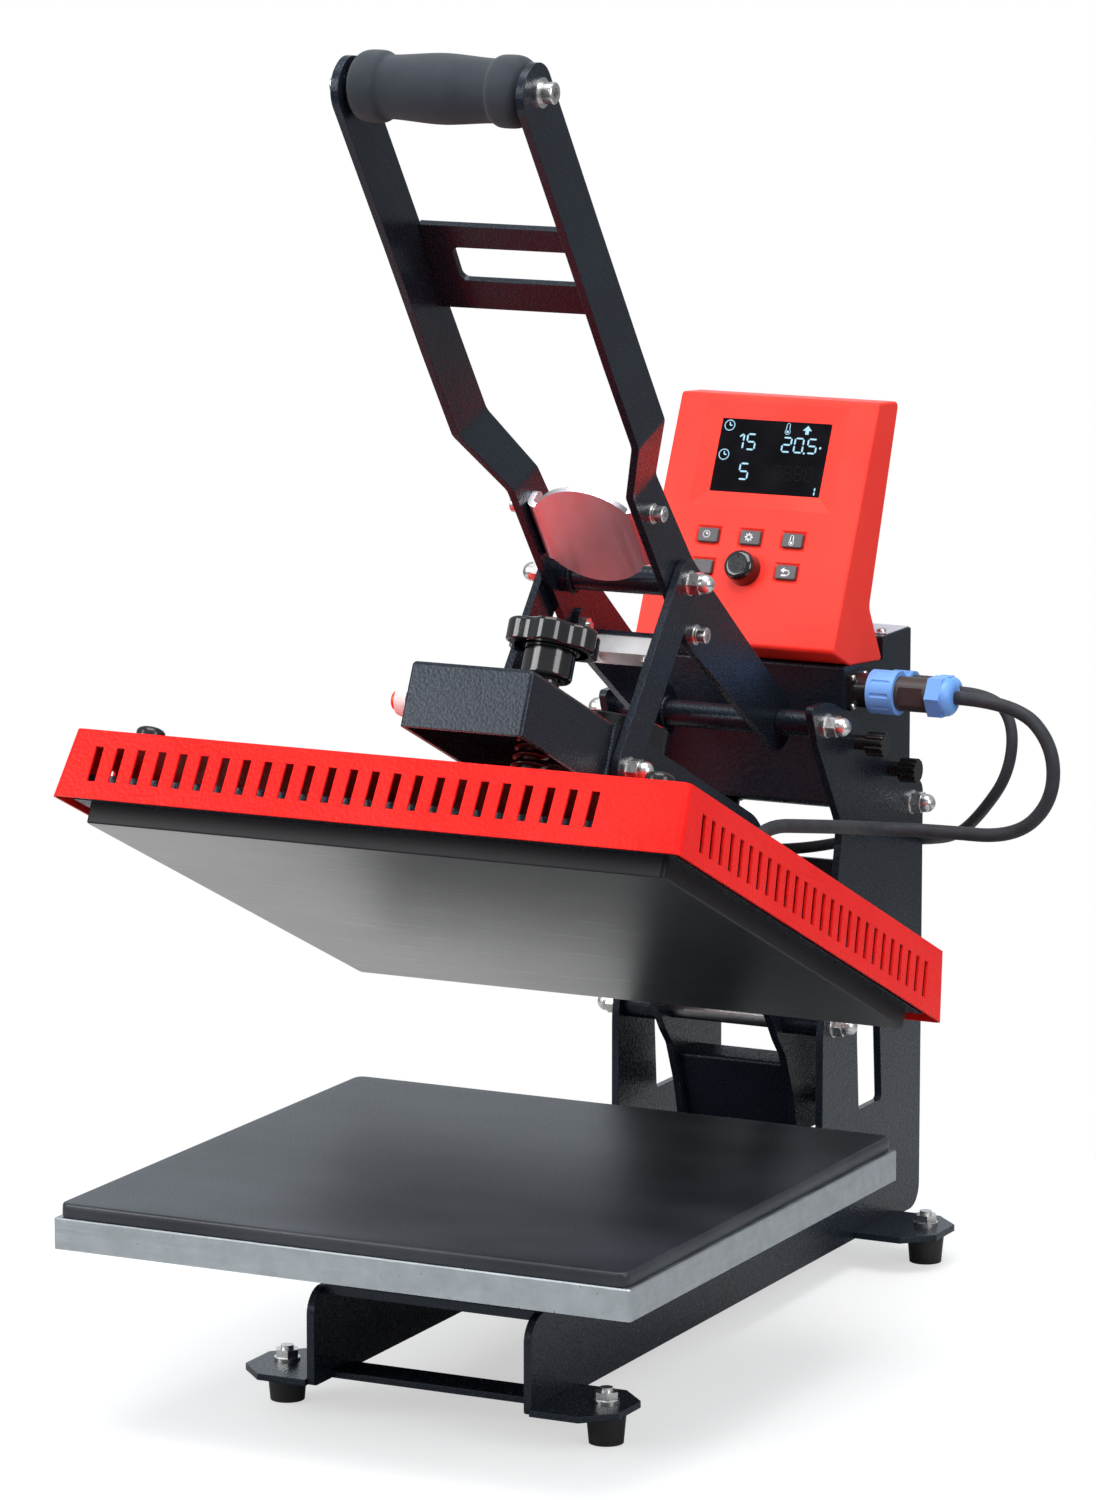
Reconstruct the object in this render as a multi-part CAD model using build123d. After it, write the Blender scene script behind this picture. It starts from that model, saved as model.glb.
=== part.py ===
from build123d import *
import math
import os

os.makedirs("parts", exist_ok=True)

# Flat clamshell heat press, standing open. Sizes in millimetres.
# X runs to the machine's right, Y to its back, Z up. The floor is Z = 0 and
# the mid-plane X = 0. While drawing, Y = 0 is the middle of the lower platen;
# every piece is moved by Y_MID at the end, so that Y = 0 is the middle of the
# whole machine.

# Fits and sheet thicknesses
RUN = 0.05            # radial clearance of a pin that turns in a bore
GAP = 0.3             # gap between faces that slide past each other
PLATE = 5.0           # laser-cut plates
SHEET = 3.0           # folded panels
THIN = 1.6            # folded cover
WASHER = 1.6

# Lower platen and its pad
PLATEN = 380.0
PLATEN_T = 19.0
PLATEN_TOP = 135.3
PAD_W = PLATEN - 6.0
PAD_D = PLATEN - 2.0
PAD_T = 9.0
PAD_TOP = PLATEN_TOP + PAD_T

# Frame
FRAME_X = 75.5                      # outer face of the side plates
FRAME_IN = FRAME_X - PLATE
FOOT_H = 21.0
STRIP_T = 4.0
STRIP_TOP = FOOT_H + STRIP_T
BEAM_TOP = 80.0
DECK_TOP = 81.0
DECK_T = 6.0
BEAM_FRONT = -87.0
UPRIGHT_FRONT = 333.0
FRAME_BACK = 492.0
Y_MID = (FRAME_BACK - PLATEN / 2) / 2

# Feet
FOOT_X = 108.0
FOOT_FRONT = -51.0
FOOT_BACK = 428.0
FOOT_R = 12.5
FOOT_TIP_R = 10.5
STUD_R = 4.0

# Pivots in the standing-open pose, as (Y, Z)
HANDLE_PIVOT = (334.2, 369.7)
HEAD_PIVOT = (348.0, 171.5)
LINK_TOP = (185.5, 480.5)
TIE_ROD = (472.2, 297.2)
SHAFT_R = 6.0
SPACER_R = 8.5
ARM_IN = 38.0                       # inner face of the handle and head arms
ARM_OUT = ARM_IN + PLATE
LINK_IN = ARM_OUT + 0.5
LINK_OUT = LINK_IN + PLATE
HEAD_TILT = 24.4                    # head angle from shut to open, degrees
LINK_FOOT_SHUT = (36.1, 256.2)      # lower link pivot with the press shut
TAIL_PIN_SHUT = (427.0, 142.0)      # lower gas spring pin with the press shut
GAS_X = 52.0

# Heating head, drawn shut and level
HEAT_BOTTOM = PAD_TOP + GAP
HEAT_T = 12.0
HEAT_TOP = HEAT_BOTTOM + HEAT_T
HEAT_Y = 6.5
FRAME_RIM = 7.0                     # the black tray is this much wider than the platen
COVER_BOTTOM = 155.0
COVER_TOP = 198.4
COVER_X = 205.5
COVER_Y = 207.5
COVER_TAPER = 4.0
PRESS_TRAVEL = 6.0                  # height setting of the head under the wheel
SCREW_PITCH = 1.75

# Channel, wheel and magnet
CHANNEL_TOP = 281.0
CHANNEL_BOTTOM = 240.0
CHANNEL_FRONT = -98.0
CHANNEL_BACK = 20.0
WHEEL_R = 29.8
WHEEL_TOP = 332.5
WHEEL_BOTTOM = 318.0
SPINDLE_R = 6.0
MAGNET_Y = 107.0
MAGNET_TOP = 300.7
MAGNET_R = 35.0
MAGNET_H = 34.0

# Handle
UPPER_IN = 58.0
UPPER_OUT = UPPER_IN + PLATE
GRIP = (-48.7, 800.5)
GRIP_R = 21.5

# Electronics box and controller
BOX_X = FRAME_IN - 0.5
BOX_FRONT = 375.0
BOX_BACK = 482.0
BOX_BOTTOM = 310.0
BOX_TOP = 412.0
CTRL_X = 70.7
CTRL_TOP = (426.9, 566.2)           # top edge of the controller's front face
CTRL_LOW = (355.0, 413.0)           # bottom edge of it


# Helpers

def outline(corners):
    """Face in the XY plane from (u, v, corner radius) points."""
    arcs = []
    count = len(corners)
    for i in range(count):
        u0, v0, _ = corners[i - 1]
        u, v, r = corners[i]
        u1, v1, _ = corners[(i + 1) % count]
        back = Vector(u0 - u, v0 - v).normalized()
        ahead = Vector(u1 - u, v1 - v).normalized()
        here = Vector(u, v)
        if r == 0:
            arcs.append([here])
            continue
        half = math.acos(max(-1.0, min(1.0, back.dot(ahead)))) / 2
        reach = r / math.tan(half)
        middle = (back + ahead).normalized()
        depth = r / math.sin(half) - r
        arcs.append([here + back * reach, here + middle * depth, here + ahead * reach])
    edges = []
    for i in range(count):
        if len(arcs[i]) == 3:
            edges.append(ThreePointArc(*arcs[i]))
        edges.append(Line(arcs[i][-1], arcs[(i + 1) % count][0]))
    return Face(Wire(edges))


def plate(corners, x_from, x_to):
    """Plate with a Y-Z outline, between two X planes."""
    face = Plane.YZ.offset(x_from) * outline(corners)
    return extrude(face, amount=x_to - x_from, dir=(1, 0, 0))


def flat(corners, z_from, z_to):
    """Plate with an X-Y outline, between two heights."""
    face = Plane.XY.offset(z_from) * outline(corners)
    return extrude(face, amount=z_to - z_from, dir=(0, 0, 1))


def block(x0, x1, y0, y1, z0, z1):
    middle = Pos((x0 + x1) / 2, (y0 + y1) / 2, (z0 + z1) / 2)
    return middle * Box(x1 - x0, y1 - y0, z1 - z0)


def rod_x(at, x0, x1, r):
    """Round bar along X at (Y, Z)."""
    return Pos((x0 + x1) / 2, at[0], at[1]) * Rot(0, 90, 0) * Cylinder(r, x1 - x0)


def tube_x(at, x0, x1, r, bore):
    return rod_x(at, x0, x1, r) - rod_x(at, x0 - 1, x1 + 1, bore)


def rod_z(x, y, z0, z1, r):
    return Pos(x, y, (z0 + z1) / 2) * Cylinder(r, z1 - z0)


def hex_x(at, x0, x1, across):
    """Hexagonal bar along X."""
    face = Plane.YZ.offset(x0) * Pos(at[0], at[1]) * RegularPolygon(across / math.sqrt(3), 6)
    return extrude(face, amount=x1 - x0)


def mirrored(shape):
    return mirror(shape, about=Plane.YZ)


def both(shape):
    """The piece and its mirror image, as two solids."""
    return [shape, mirrored(shape)]


def turned(point, centre, degrees):
    """(Y, Z) point turned about X at centre."""
    a = math.radians(degrees)
    y = point[0] - centre[0]
    z = point[1] - centre[1]
    turned_y = centre[0] + y * math.cos(a) - z * math.sin(a)
    turned_z = centre[1] + y * math.sin(a) + z * math.cos(a)
    return (turned_y, turned_z)


def axis_x(at):
    return Axis((0, at[0], at[1]), (1, 0, 0))


def opened(shape):
    """Move a piece of the head from the shut pose to the open one."""
    return shape.rotate(axis_x(HEAD_PIVOT), -HEAD_TILT)


def angle_of(start, end):
    return math.degrees(math.atan2(end[1] - start[1], end[0] - start[0]))


def gap_between(a, b):
    return math.hypot(a[0] - b[0], a[1] - b[1])


def save(name, *shapes):
    solids = []
    for shape in shapes:
        moved = Pos(0, -Y_MID, 0) * shape
        solids.extend(moved.solids())
    body = solids[0] if len(solids) == 1 else Compound(solids)
    export_step(body, "parts/" + name + ".step")


NUT_AF = 13.0
NUT_H = 7.0
DOME_R = 6.1
DOME_NUT_H = 15.5


def dome_nut(at, x0, scale=1.0):
    """Cap nut on the right side, its seat at x0, with a blind bore."""
    nut = hex_x(at, x0, x0 + NUT_H * scale, NUT_AF * scale)
    dome_x = x0 + (DOME_NUT_H - DOME_R) * scale
    nut += rod_x(at, x0, dome_x, DOME_R * scale)
    nut += Pos(dome_x, at[0], at[1]) * Sphere(DOME_R * scale)
    return nut - rod_x(at, x0 - 1, x0 + 9 * scale, (STUD_R + RUN) * scale)


def washer(at, x0, r=8.0, bore=STUD_R + RUN):
    return tube_x(at, x0, x0 + WASHER, r, bore)


# Linkage

link_foot = turned(LINK_FOOT_SHUT, HEAD_PIVOT, -HEAD_TILT)
tail_pin = turned(TAIL_PIN_SHUT, HEAD_PIVOT, -HEAD_TILT)
crank = gap_between(HANDLE_PIVOT, LINK_TOP)
link_length = gap_between(LINK_TOP, link_foot)
reach_shut = gap_between(HANDLE_PIVOT, LINK_FOOT_SHUT)
corner = (crank ** 2 + reach_shut ** 2 - link_length ** 2) / (2 * crank * reach_shut)
lean = math.degrees(math.acos(corner))
HANDLE_TRAVEL = (angle_of(HANDLE_PIVOT, LINK_FOOT_SHUT) - lean
                 - angle_of(HANDLE_PIVOT, LINK_TOP)) % 360
link_top_shut = turned(LINK_TOP, HANDLE_PIVOT, HANDLE_TRAVEL)
LINK_TURN = (angle_of(link_top_shut, LINK_FOOT_SHUT)
             - angle_of(LINK_TOP, link_foot)) - HANDLE_TRAVEL
gas_open = gap_between(TIE_ROD, tail_pin)
gas_shut = gap_between(TIE_ROD, TAIL_PIN_SHUT)
GAS_TURN = angle_of(TIE_ROD, TAIL_PIN_SHUT) - angle_of(TIE_ROD, tail_pin)
GAS_STROKE = gas_open - gas_shut
print("handle travel", round(HANDLE_TRAVEL, 3), "link turn", round(LINK_TURN, 3))
print("gas turn", round(GAS_TURN, 3), "gas stroke", round(GAS_STROKE, 3))
print("link foot open", link_foot, "tail pin open", tail_pin)


def handle_opened(shape):
    """Move a piece of the handle from the shut pose to the open one."""
    return shape.rotate(axis_x(HANDLE_PIVOT), -HANDLE_TRAVEL)


# Frame

side = plate(
    [
        (BEAM_FRONT, FOOT_H - GAP, 3),
        (FRAME_BACK, FOOT_H - GAP, 15),
        (FRAME_BACK, 306, 10),
        (405, 356, 80),
        (342, 384.5, 60),
        (311, 384.5, 4),
        (322, 358, 25),
        (362, 298, 25),
        (UPRIGHT_FRONT, 168, 60),
        (UPRIGHT_FRONT, BEAM_TOP, 28),
        (BEAM_FRONT, BEAM_TOP, 16),
    ],
    FRAME_IN,
    FRAME_X,
)
WINDOW_FRONT = 391.0
WINDOW_BACK = 428.0
window = plate(
    [
        (WINDOW_FRONT, 106, 3),
        (WINDOW_BACK, 106, 3),
        (WINDOW_BACK - 4, 160, 90),
        (WINDOW_BACK, 216, 3),
        (WINDOW_FRONT, 216, 3),
        (WINDOW_FRONT - 4, 160, 90),
    ],
    FRAME_IN - 1,
    FRAME_X + 1,
)
side -= window
STRIP_HALF = 13.0
for strip_y in (FOOT_FRONT - 1, FOOT_BACK):
    side -= block(
        FRAME_IN - 1, FRAME_X + 1,
        strip_y - STRIP_HALF - RUN, strip_y + STRIP_HALF + RUN,
        FOOT_H - 1, STRIP_TOP,
    )
for pivot in (HANDLE_PIVOT, HEAD_PIVOT, TIE_ROD):
    side -= rod_x(pivot, FRAME_IN - 1, FRAME_X + 1, SHAFT_R + RUN)
THUMB_SCREWS = ((383.4, 351.0), (436.7, 325.2))
THUMB_R = 3.0
for pivot in THUMB_SCREWS:
    side -= rod_x(pivot, FRAME_IN - 1, FRAME_X + 1, THUMB_R + RUN)
save("side_plate_right", side)
save("side_plate_left", mirrored(side))

# Deck between the beams, with holes for the carrier's screws
deck_end = UPRIGHT_FRONT + 40
deck = flat(
    [
        (-FRAME_IN, BEAM_FRONT + 14, 0),
        (FRAME_IN, BEAM_FRONT + 14, 0),
        (FRAME_IN, deck_end, 0),
        (-FRAME_IN, deck_end, 0),
    ],
    DECK_TOP - DECK_T,
    DECK_TOP,
)
CARRIER_X = 58.0
CARRIER_FRONT = BEAM_FRONT + 17
CARRIER_END = 140.0
CARRIER_BOLT_X = 40.0
carrier_bolts = [(x, y) for x in (-CARRIER_BOLT_X, CARRIER_BOLT_X) for y in (-45, 60)]
for x, y in carrier_bolts:
    deck -= rod_z(x, y, DECK_TOP - DECK_T - 1, DECK_TOP + 1, STUD_R + RUN)
save("deck_plate", deck)

# Folded carrier between the deck and the lower platen
PLATEN_BOTTOM = PLATEN_TOP - PLATEN_T
carrier = block(-CARRIER_X, CARRIER_X, CARRIER_FRONT, CARRIER_END, DECK_TOP, PLATEN_BOTTOM)
carrier -= block(
    SHEET - CARRIER_X, CARRIER_X - SHEET,
    CARRIER_FRONT - 1, CARRIER_END + 1,
    DECK_TOP + SHEET, PLATEN_BOTTOM + 1,
)
carrier += block(
    CARRIER_X, 2 * CARRIER_X, CARRIER_FRONT, CARRIER_END, PLATEN_BOTTOM - SHEET, PLATEN_BOTTOM
)
carrier += block(
    -2 * CARRIER_X, -CARRIER_X, CARRIER_FRONT, CARRIER_END, PLATEN_BOTTOM - SHEET, PLATEN_BOTTOM
)
for x, y in carrier_bolts:
    carrier -= rod_z(x, y, DECK_TOP - 1, DECK_TOP + SHEET + 1, STUD_R + RUN)
save("platen_carrier", carrier)

# Folded panel across the back of the uprights
PANEL_BACK = FRAME_BACK - 2
panel = block(-FRAME_IN, FRAME_IN, PANEL_BACK - 18, PANEL_BACK, 160, 250)
panel -= block(
    SHEET - FRAME_IN, FRAME_IN - SHEET, PANEL_BACK - 19, PANEL_BACK - SHEET, 159, 251
)
save("rear_cross_panel", panel)


def foot_strip(middle, tab_front, tab_back):
    """Strip across the frame with an eight-sided tab outside each beam."""
    cut = 18.0
    reach = FOOT_X + 18.0
    strip = block(-FRAME_X, FRAME_X, middle - STRIP_HALF, middle + STRIP_HALF, FOOT_H, STRIP_TOP)
    tab = flat(
        [
            (FRAME_X, tab_front, 0),
            (reach - cut, tab_front, 1),
            (reach, tab_front + cut, 1),
            (reach, tab_back - cut, 1),
            (reach - cut, tab_back, 1),
            (FRAME_X, tab_back, 0),
        ],
        FOOT_H,
        STRIP_TOP,
    )
    tab -= rod_z(FOOT_X, middle, FOOT_H - 1, STRIP_TOP + 1, STUD_R + RUN)
    return strip + tab + mirrored(tab)


save("front_foot_strip", foot_strip(FOOT_FRONT - 1, -90, -24))
save("rear_foot_strip", foot_strip(FOOT_BACK, 386, 452))

feet = []
studs = []
nut_across = 13.0
for foot_y in (FOOT_FRONT - 1, FOOT_BACK):
    for foot_x in (-FOOT_X, FOOT_X):
        foot = Pos(foot_x, foot_y, FOOT_H / 2) * Cone(FOOT_TIP_R, FOOT_R, FOOT_H)
        foot -= rod_z(foot_x, foot_y, FOOT_H / 2, FOOT_H + 1, STUD_R + RUN)
        feet.append(foot)
        studs.append(rod_z(foot_x, foot_y, FOOT_H / 2, STRIP_TOP + 9, STUD_R))
        ring = rod_z(foot_x, foot_y, STRIP_TOP, STRIP_TOP + WASHER, 8)
        studs.append(ring - rod_z(foot_x, foot_y, STRIP_TOP - 1, STRIP_TOP + 9, STUD_R + RUN))
        nut = extrude(
            Pos(foot_x, foot_y, STRIP_TOP + WASHER) * RegularPolygon(nut_across / math.sqrt(3), 6),
            amount=5,
        )
        studs.append(nut - rod_z(foot_x, foot_y, STRIP_TOP - 1, STRIP_TOP + 9, STUD_R + RUN))
save("rubber_feet", *feet)
save("foot_studs_and_nuts", *studs)

# Lower platen and foam pad
lower = flat(
    [
        (-PLATEN / 2, -PLATEN / 2, 2),
        (PLATEN / 2, -PLATEN / 2, 2),
        (PLATEN / 2, PLATEN / 2, 2),
        (-PLATEN / 2, PLATEN / 2, 2),
    ],
    PLATEN_BOTTOM,
    PLATEN_TOP,
)
lower = chamfer(lower.faces().sort_by(Axis.Z)[-1].edges(), 0.8)
save("lower_platen", lower)
pad = flat(
    [
        (-PAD_W / 2, -PAD_D / 2, 7),
        (PAD_W / 2, -PAD_D / 2, 7),
        (PAD_W / 2, PAD_D / 2, 7),
        (-PAD_W / 2, PAD_D / 2, 7),
    ],
    PLATEN_TOP,
    PAD_TOP,
)
pad = fillet(pad.faces().sort_by(Axis.Z)[-1].edges(), 2)
save("foam_pad", pad)

# Shafts, spacers and cap nuts that join the two side plates
shafts = []
nuts = []
for pivot in (HANDLE_PIVOT, HEAD_PIVOT, TIE_ROD):
    shaft = rod_x(pivot, -FRAME_X, FRAME_X, SHAFT_R)
    shaft += rod_x(pivot, -FRAME_X - 9, FRAME_X + 9, STUD_R)
    shafts.append(shaft)
    nuts += both(washer(pivot, FRAME_X))
    nuts += both(dome_nut(pivot, FRAME_X + WASHER))
save("cross_shafts", *shafts)
save("frame_cap_nuts", *nuts)

EYE_HALF = 5.0
spacers = []
for pivot in (HANDLE_PIVOT, HEAD_PIVOT):
    spacers += both(tube_x(pivot, ARM_OUT + GAP, FRAME_IN, SPACER_R, SHAFT_R + RUN))
spacers += both(tube_x(TIE_ROD, GAS_X + EYE_HALF + GAP, FRAME_IN, SPACER_R, SHAFT_R + RUN))
middle_tube = GAS_X - EYE_HALF - GAP
spacers.append(tube_x(TIE_ROD, -middle_tube, middle_tube, SPACER_R, SHAFT_R + RUN))
save("shaft_spacers", *spacers)

# Electronics box

SEAT_FRONT_Z = 401.4                # the box slopes down under the controller
SEAT_BACK = 436.0
SEAT_BACK_Z = 396.9


def seat_z(y):
    """Height of the sloping seat of the controller."""
    share = (y - BOX_FRONT) / (SEAT_BACK - BOX_FRONT)
    return SEAT_FRONT_Z + share * (SEAT_BACK_Z - SEAT_FRONT_Z)


case = plate(
    [
        (BOX_FRONT, BOX_BOTTOM, 2),
        (BOX_BACK, BOX_BOTTOM, 2),
        (BOX_BACK, BOX_TOP, 2),
        (SEAT_BACK, BOX_TOP, 2),
        (SEAT_BACK, SEAT_BACK_Z, 0),
        (BOX_FRONT, SEAT_FRONT_Z, 2),
    ],
    -BOX_X,
    BOX_X,
)
BOX_WALL = 2.0
case -= plate(
    [
        (BOX_FRONT + BOX_WALL, BOX_BOTTOM + BOX_WALL, 0),
        (BOX_BACK - BOX_WALL, BOX_BOTTOM + BOX_WALL, 0),
        (BOX_BACK - BOX_WALL, BOX_TOP - BOX_WALL, 0),
        (SEAT_BACK + BOX_WALL, BOX_TOP - BOX_WALL, 0),
        (SEAT_BACK + BOX_WALL, SEAT_BACK_Z - BOX_WALL, 0),
        (BOX_FRONT + BOX_WALL, SEAT_FRONT_Z - BOX_WALL, 0),
    ],
    BOX_WALL - BOX_X,
    BOX_X - BOX_WALL,
)
VENTS = 8
VENT_W = 4.0
VENT_PITCH = 12.0
for i in range(VENTS):
    x = VENT_PITCH * (i - (VENTS - 1) / 2)
    case -= block(
        x - VENT_W / 2, x + VENT_W / 2, BOX_FRONT + 25, BOX_BACK - 25,
        BOX_BOTTOM - 1, BOX_BOTTOM + BOX_WALL + 1,
    )
for pivot in THUMB_SCREWS:
    for hole in both(rod_x(pivot, BOX_X - 8, BOX_X + 1, THUMB_R + RUN)):
        case -= hole
INLET = (-34.0, 345.0)
INLET_W = 27.0
INLET_H = 20.0
INLET_DEEP = 18.0
case -= block(
    INLET[0] - INLET_W / 2 - RUN, INLET[0] + INLET_W / 2 + RUN,
    BOX_BACK - INLET_DEEP, BOX_BACK + 1,
    INLET[1] - INLET_H / 2 - RUN, INLET[1] + INLET_H / 2 + RUN,
)
save("electronics_box", case)

inlet = block(
    INLET[0] - INLET_W / 2, INLET[0] + INLET_W / 2,
    BOX_BACK - INLET_DEEP, BOX_BACK,
    INLET[1] - INLET_H / 2, INLET[1] + INLET_H / 2,
)
inlet += block(
    INLET[0] - 24, INLET[0] + 24, BOX_BACK, BOX_BACK + SHEET, INLET[1] - 14, INLET[1] + 14
)
inlet -= block(
    INLET[0] - 12, INLET[0] + 12, BOX_BACK - 13, BOX_BACK + 5, INLET[1] - 8, INLET[1] + 8
)
for pin_x, pin_z in ((-7, -2), (0, 3), (7, -2)):
    inlet += block(
        INLET[0] + pin_x - 1, INLET[0] + pin_x + 1,
        BOX_BACK - 14, BOX_BACK - 2,
        INLET[1] + pin_z - 2, INLET[1] + pin_z + 2,
    )
save("power_inlet", inlet)

THUMB_HEAD_R = 8.0
THUMB_FROM = FRAME_X + 8            # the knurled head stands off the plate on a neck
THUMB_END = FRAME_X + 20.5
thumb = []
for pivot in THUMB_SCREWS:
    head = rod_x(pivot, THUMB_FROM, THUMB_END, THUMB_HEAD_R)
    head = fillet(head.edges().filter_by(GeomType.CIRCLE), 1)
    for i in range(12):
        groove = turned((pivot[0] + THUMB_HEAD_R + 0.8, pivot[1]), pivot, 30 * i)
        head -= rod_x(groove, THUMB_FROM - 1, THUMB_END + 1, 1.7)
    head += rod_x(pivot, FRAME_X, THUMB_FROM, THUMB_HEAD_R - 3)
    head += rod_x(pivot, BOX_X - 6, FRAME_X, THUMB_R)
    thumb += both(head)
save("thumb_screws", *thumb)

# Controller

face_len = gap_between(CTRL_TOP, CTRL_LOW)
face_up = ((CTRL_TOP[0] - CTRL_LOW[0]) / face_len, (CTRL_TOP[1] - CTRL_LOW[1]) / face_len)
FACE = Plane(
    origin=(0, CTRL_TOP[0], CTRL_TOP[1]),
    x_dir=(1, 0, 0),
    z_dir=(0, -face_up[1], face_up[0]),
)


def on_face(x, down, out=0.0):
    """Place on the controller's face: across, down from its top edge, out of it."""
    return FACE * Pos(x, -down, out)


housing = plate(
    [
        (CTRL_TOP[0], CTRL_TOP[1], 3),
        (458, 564, 4),
        (413, 435, 8),
        (SEAT_BACK - 2, seat_z(SEAT_BACK - 2), 2),
        (383, seat_z(383), 3),
        (CTRL_LOW[0], CTRL_LOW[1], 3),
    ],
    -CTRL_X,
    CTRL_X,
)
housing = fillet(housing.faces().sort_by(Axis.X)[0].edges(), 1.5)
housing = fillet(housing.faces().sort_by(Axis.X)[-1].edges(), 1.5)
CTRL_WALL = 3.0
FRONT_WALL = 9.0                    # the front carries the display and the keys
inward = (face_up[1], -face_up[0])
cavity_top = (CTRL_TOP[0] + FRONT_WALL * inward[0] - 4 * face_up[0],
              CTRL_TOP[1] + FRONT_WALL * inward[1] - 4 * face_up[1])
cavity_low = (CTRL_LOW[0] + FRONT_WALL * inward[0] + 8 * face_up[0],
              CTRL_LOW[1] + FRONT_WALL * inward[1] + 8 * face_up[1])
housing -= plate(
    [
        (cavity_top[0], cavity_top[1], 0),
        (453.3, 560, 0),
        (409.6, 435.6, 0),
        (SEAT_BACK - 6, SEAT_BACK_Z - 2, 0),
        (387, SEAT_BACK_Z - 2, 0),
        (cavity_low[0], cavity_low[1], 0),
    ],
    CTRL_WALL - CTRL_X,
    CTRL_X - CTRL_WALL,
)
SCREEN_W = 78.0
SCREEN_H = 50.0
SCREEN_DOWN = 40.5
SCREEN_DEEP = 3.0
GLASS_T = 2.0
BEVEL_W = 101.0
BEVEL_H = 71.5
steep_w = (BEVEL_W - SCREEN_W) / SCREEN_DEEP
steep_h = (BEVEL_H - SCREEN_H) / SCREEN_DEEP
bevel_top = on_face(0, SCREEN_DOWN, 0.5) * Rectangle(BEVEL_W + steep_w / 2, BEVEL_H + steep_h / 2)
bevel_low = on_face(0, SCREEN_DOWN, -SCREEN_DEEP) * Rectangle(SCREEN_W, SCREEN_H)
housing -= loft([bevel_top, bevel_low])
housing -= on_face(0, SCREEN_DOWN, -SCREEN_DEEP) * Box(
    SCREEN_W, SCREEN_H, 2 * GLASS_T
)

KEY_W = 14.0
KEY_H = 9.4
KEY_OUT = 1.6
KEY_IN = 3.0
KEY_TRAVEL = 1.0
KEY_PLAY = 0.2
FRAME_W = 4.6                       # a chamfered frame is sunk around each key
FRAME_DEEP = 1.4
KEYS = {
    "timer_key": (-32, 96.5),
    "settings_key": (-2, 96.5),
    "temperature_key": (28, 96.5),
    "lower_left_key": (-32, 118),
    "return_key": (27.5, 118),
}
for across, down in KEYS.values():
    depth = KEY_IN + KEY_TRAVEL + KEY_PLAY
    housing -= on_face(across, down, -depth / 2) * Box(
        KEY_W + 2 * KEY_PLAY, KEY_H + 2 * KEY_PLAY, depth
    )
    frame_top = on_face(across, down, 0.2) * Rectangle(KEY_W + FRAME_W, KEY_H + FRAME_W)
    frame_low = on_face(across, down, -FRAME_DEEP) * Rectangle(KEY_W + 1, KEY_H + 1)
    housing -= loft([frame_top, frame_low])
KNOB = (-2.0, 118.0)
KNOB_R = 11.2
KNOB_H = 12.5
KNOB_PIN = 3.0
housing -= on_face(KNOB[0], KNOB[1], -4) * Cylinder(KNOB_PIN + RUN, 8)
save("controller_housing", housing)

glass = on_face(0, SCREEN_DOWN, -SCREEN_DEEP - GLASS_T / 2) * Box(
    SCREEN_W - 0.2, SCREEN_H - 0.2, GLASS_T
)
save("display_window", glass)

for name, (across, down) in KEYS.items():
    key = Box(KEY_W, KEY_H, KEY_IN + KEY_OUT)
    key = fillet(key.edges().filter_by(Axis.Z), 1.2)
    key = chamfer(key.faces().sort_by(Axis.Z)[-1].edges(), 0.5)
    save(name, on_face(across, down, (KEY_OUT - KEY_IN) / 2) * key)

knob = Pos(0, 0, GAP + KNOB_H / 2) * Cone(KNOB_R, KNOB_R - 1.2, KNOB_H)
knob = fillet(knob.faces().sort_by(Axis.Z)[-1].edges(), 4)
knob += Pos(0, 0, -3) * Cylinder(KNOB_PIN, 7)
knob -= Pos(0, KNOB_R - 5.5, KNOB_H + GAP) * Box(1.2, 3, 1)
save("rotary_knob", on_face(KNOB[0], KNOB[1]) * knob)

# Connectors on the right side of the box

PLUG_1 = (391.0, seat_z(391.0) - 16.2)
PLUG_2 = (424.0, seat_z(424.0) - 15.8)
CONNECTORS = (
    # (Y, Z), ring radius, ring end, body end, nut end, nut across flats
    (PLUG_1, 14.3, 102.0, 124.5, 141.0, 25.0),
    (PLUG_2, 11.2, 98.0, 115.0, 130.0, 19.0),
)
FLANGE_T = 3.0
DOME_W = 6.5
BARREL_END = 83.5
sockets = []
rings = []
bodies = []
for at, ring_r, ring_end, body_end, nut_end, across in CONNECTORS:
    body_r = ring_r * 0.79
    square = 0.86 * ring_r
    socket = block(BOX_X, BOX_X + FLANGE_T, at[0] - square, at[0] + square,
                   at[1] - square, at[1] + square)
    socket = fillet(socket.edges().filter_by(Axis.X), 3)
    sockets.append(socket + rod_x(at, BOX_X, BARREL_END, body_r))
    ring = tube_x(at, BARREL_END, ring_end, ring_r, body_r * 0.8 + RUN)
    for i in range(10):
        groove = turned((at[0] + ring_r + 1.0, at[1]), at, 36 * i)
        ring -= rod_x(groove, BARREL_END + 3, ring_end - 3, 1.8)
    rings.append(ring)
    body = rod_x(at, BARREL_END, ring_end, body_r * 0.8) + rod_x(at, ring_end, body_end, body_r)
    body -= block(ring_end + 3, body_end - 3, at[0] - body_r, at[0] - body_r * 0.86,
                  at[1] - body_r, at[1] + body_r)
    bodies.append(body)
    nut = hex_x(at, body_end, nut_end - DOME_W, across)
    dome = rod_x(at, nut_end - DOME_W - 1, nut_end, across / 2)
    nut += fillet(dome.faces().sort_by(Axis.X)[-1].edges(), DOME_W - 0.5)
    rings.append(nut)
save("cable_sockets", *sockets)
save("plug_rings_and_nuts", *rings)
save("plug_bodies", *bodies)

# Heating head

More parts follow.
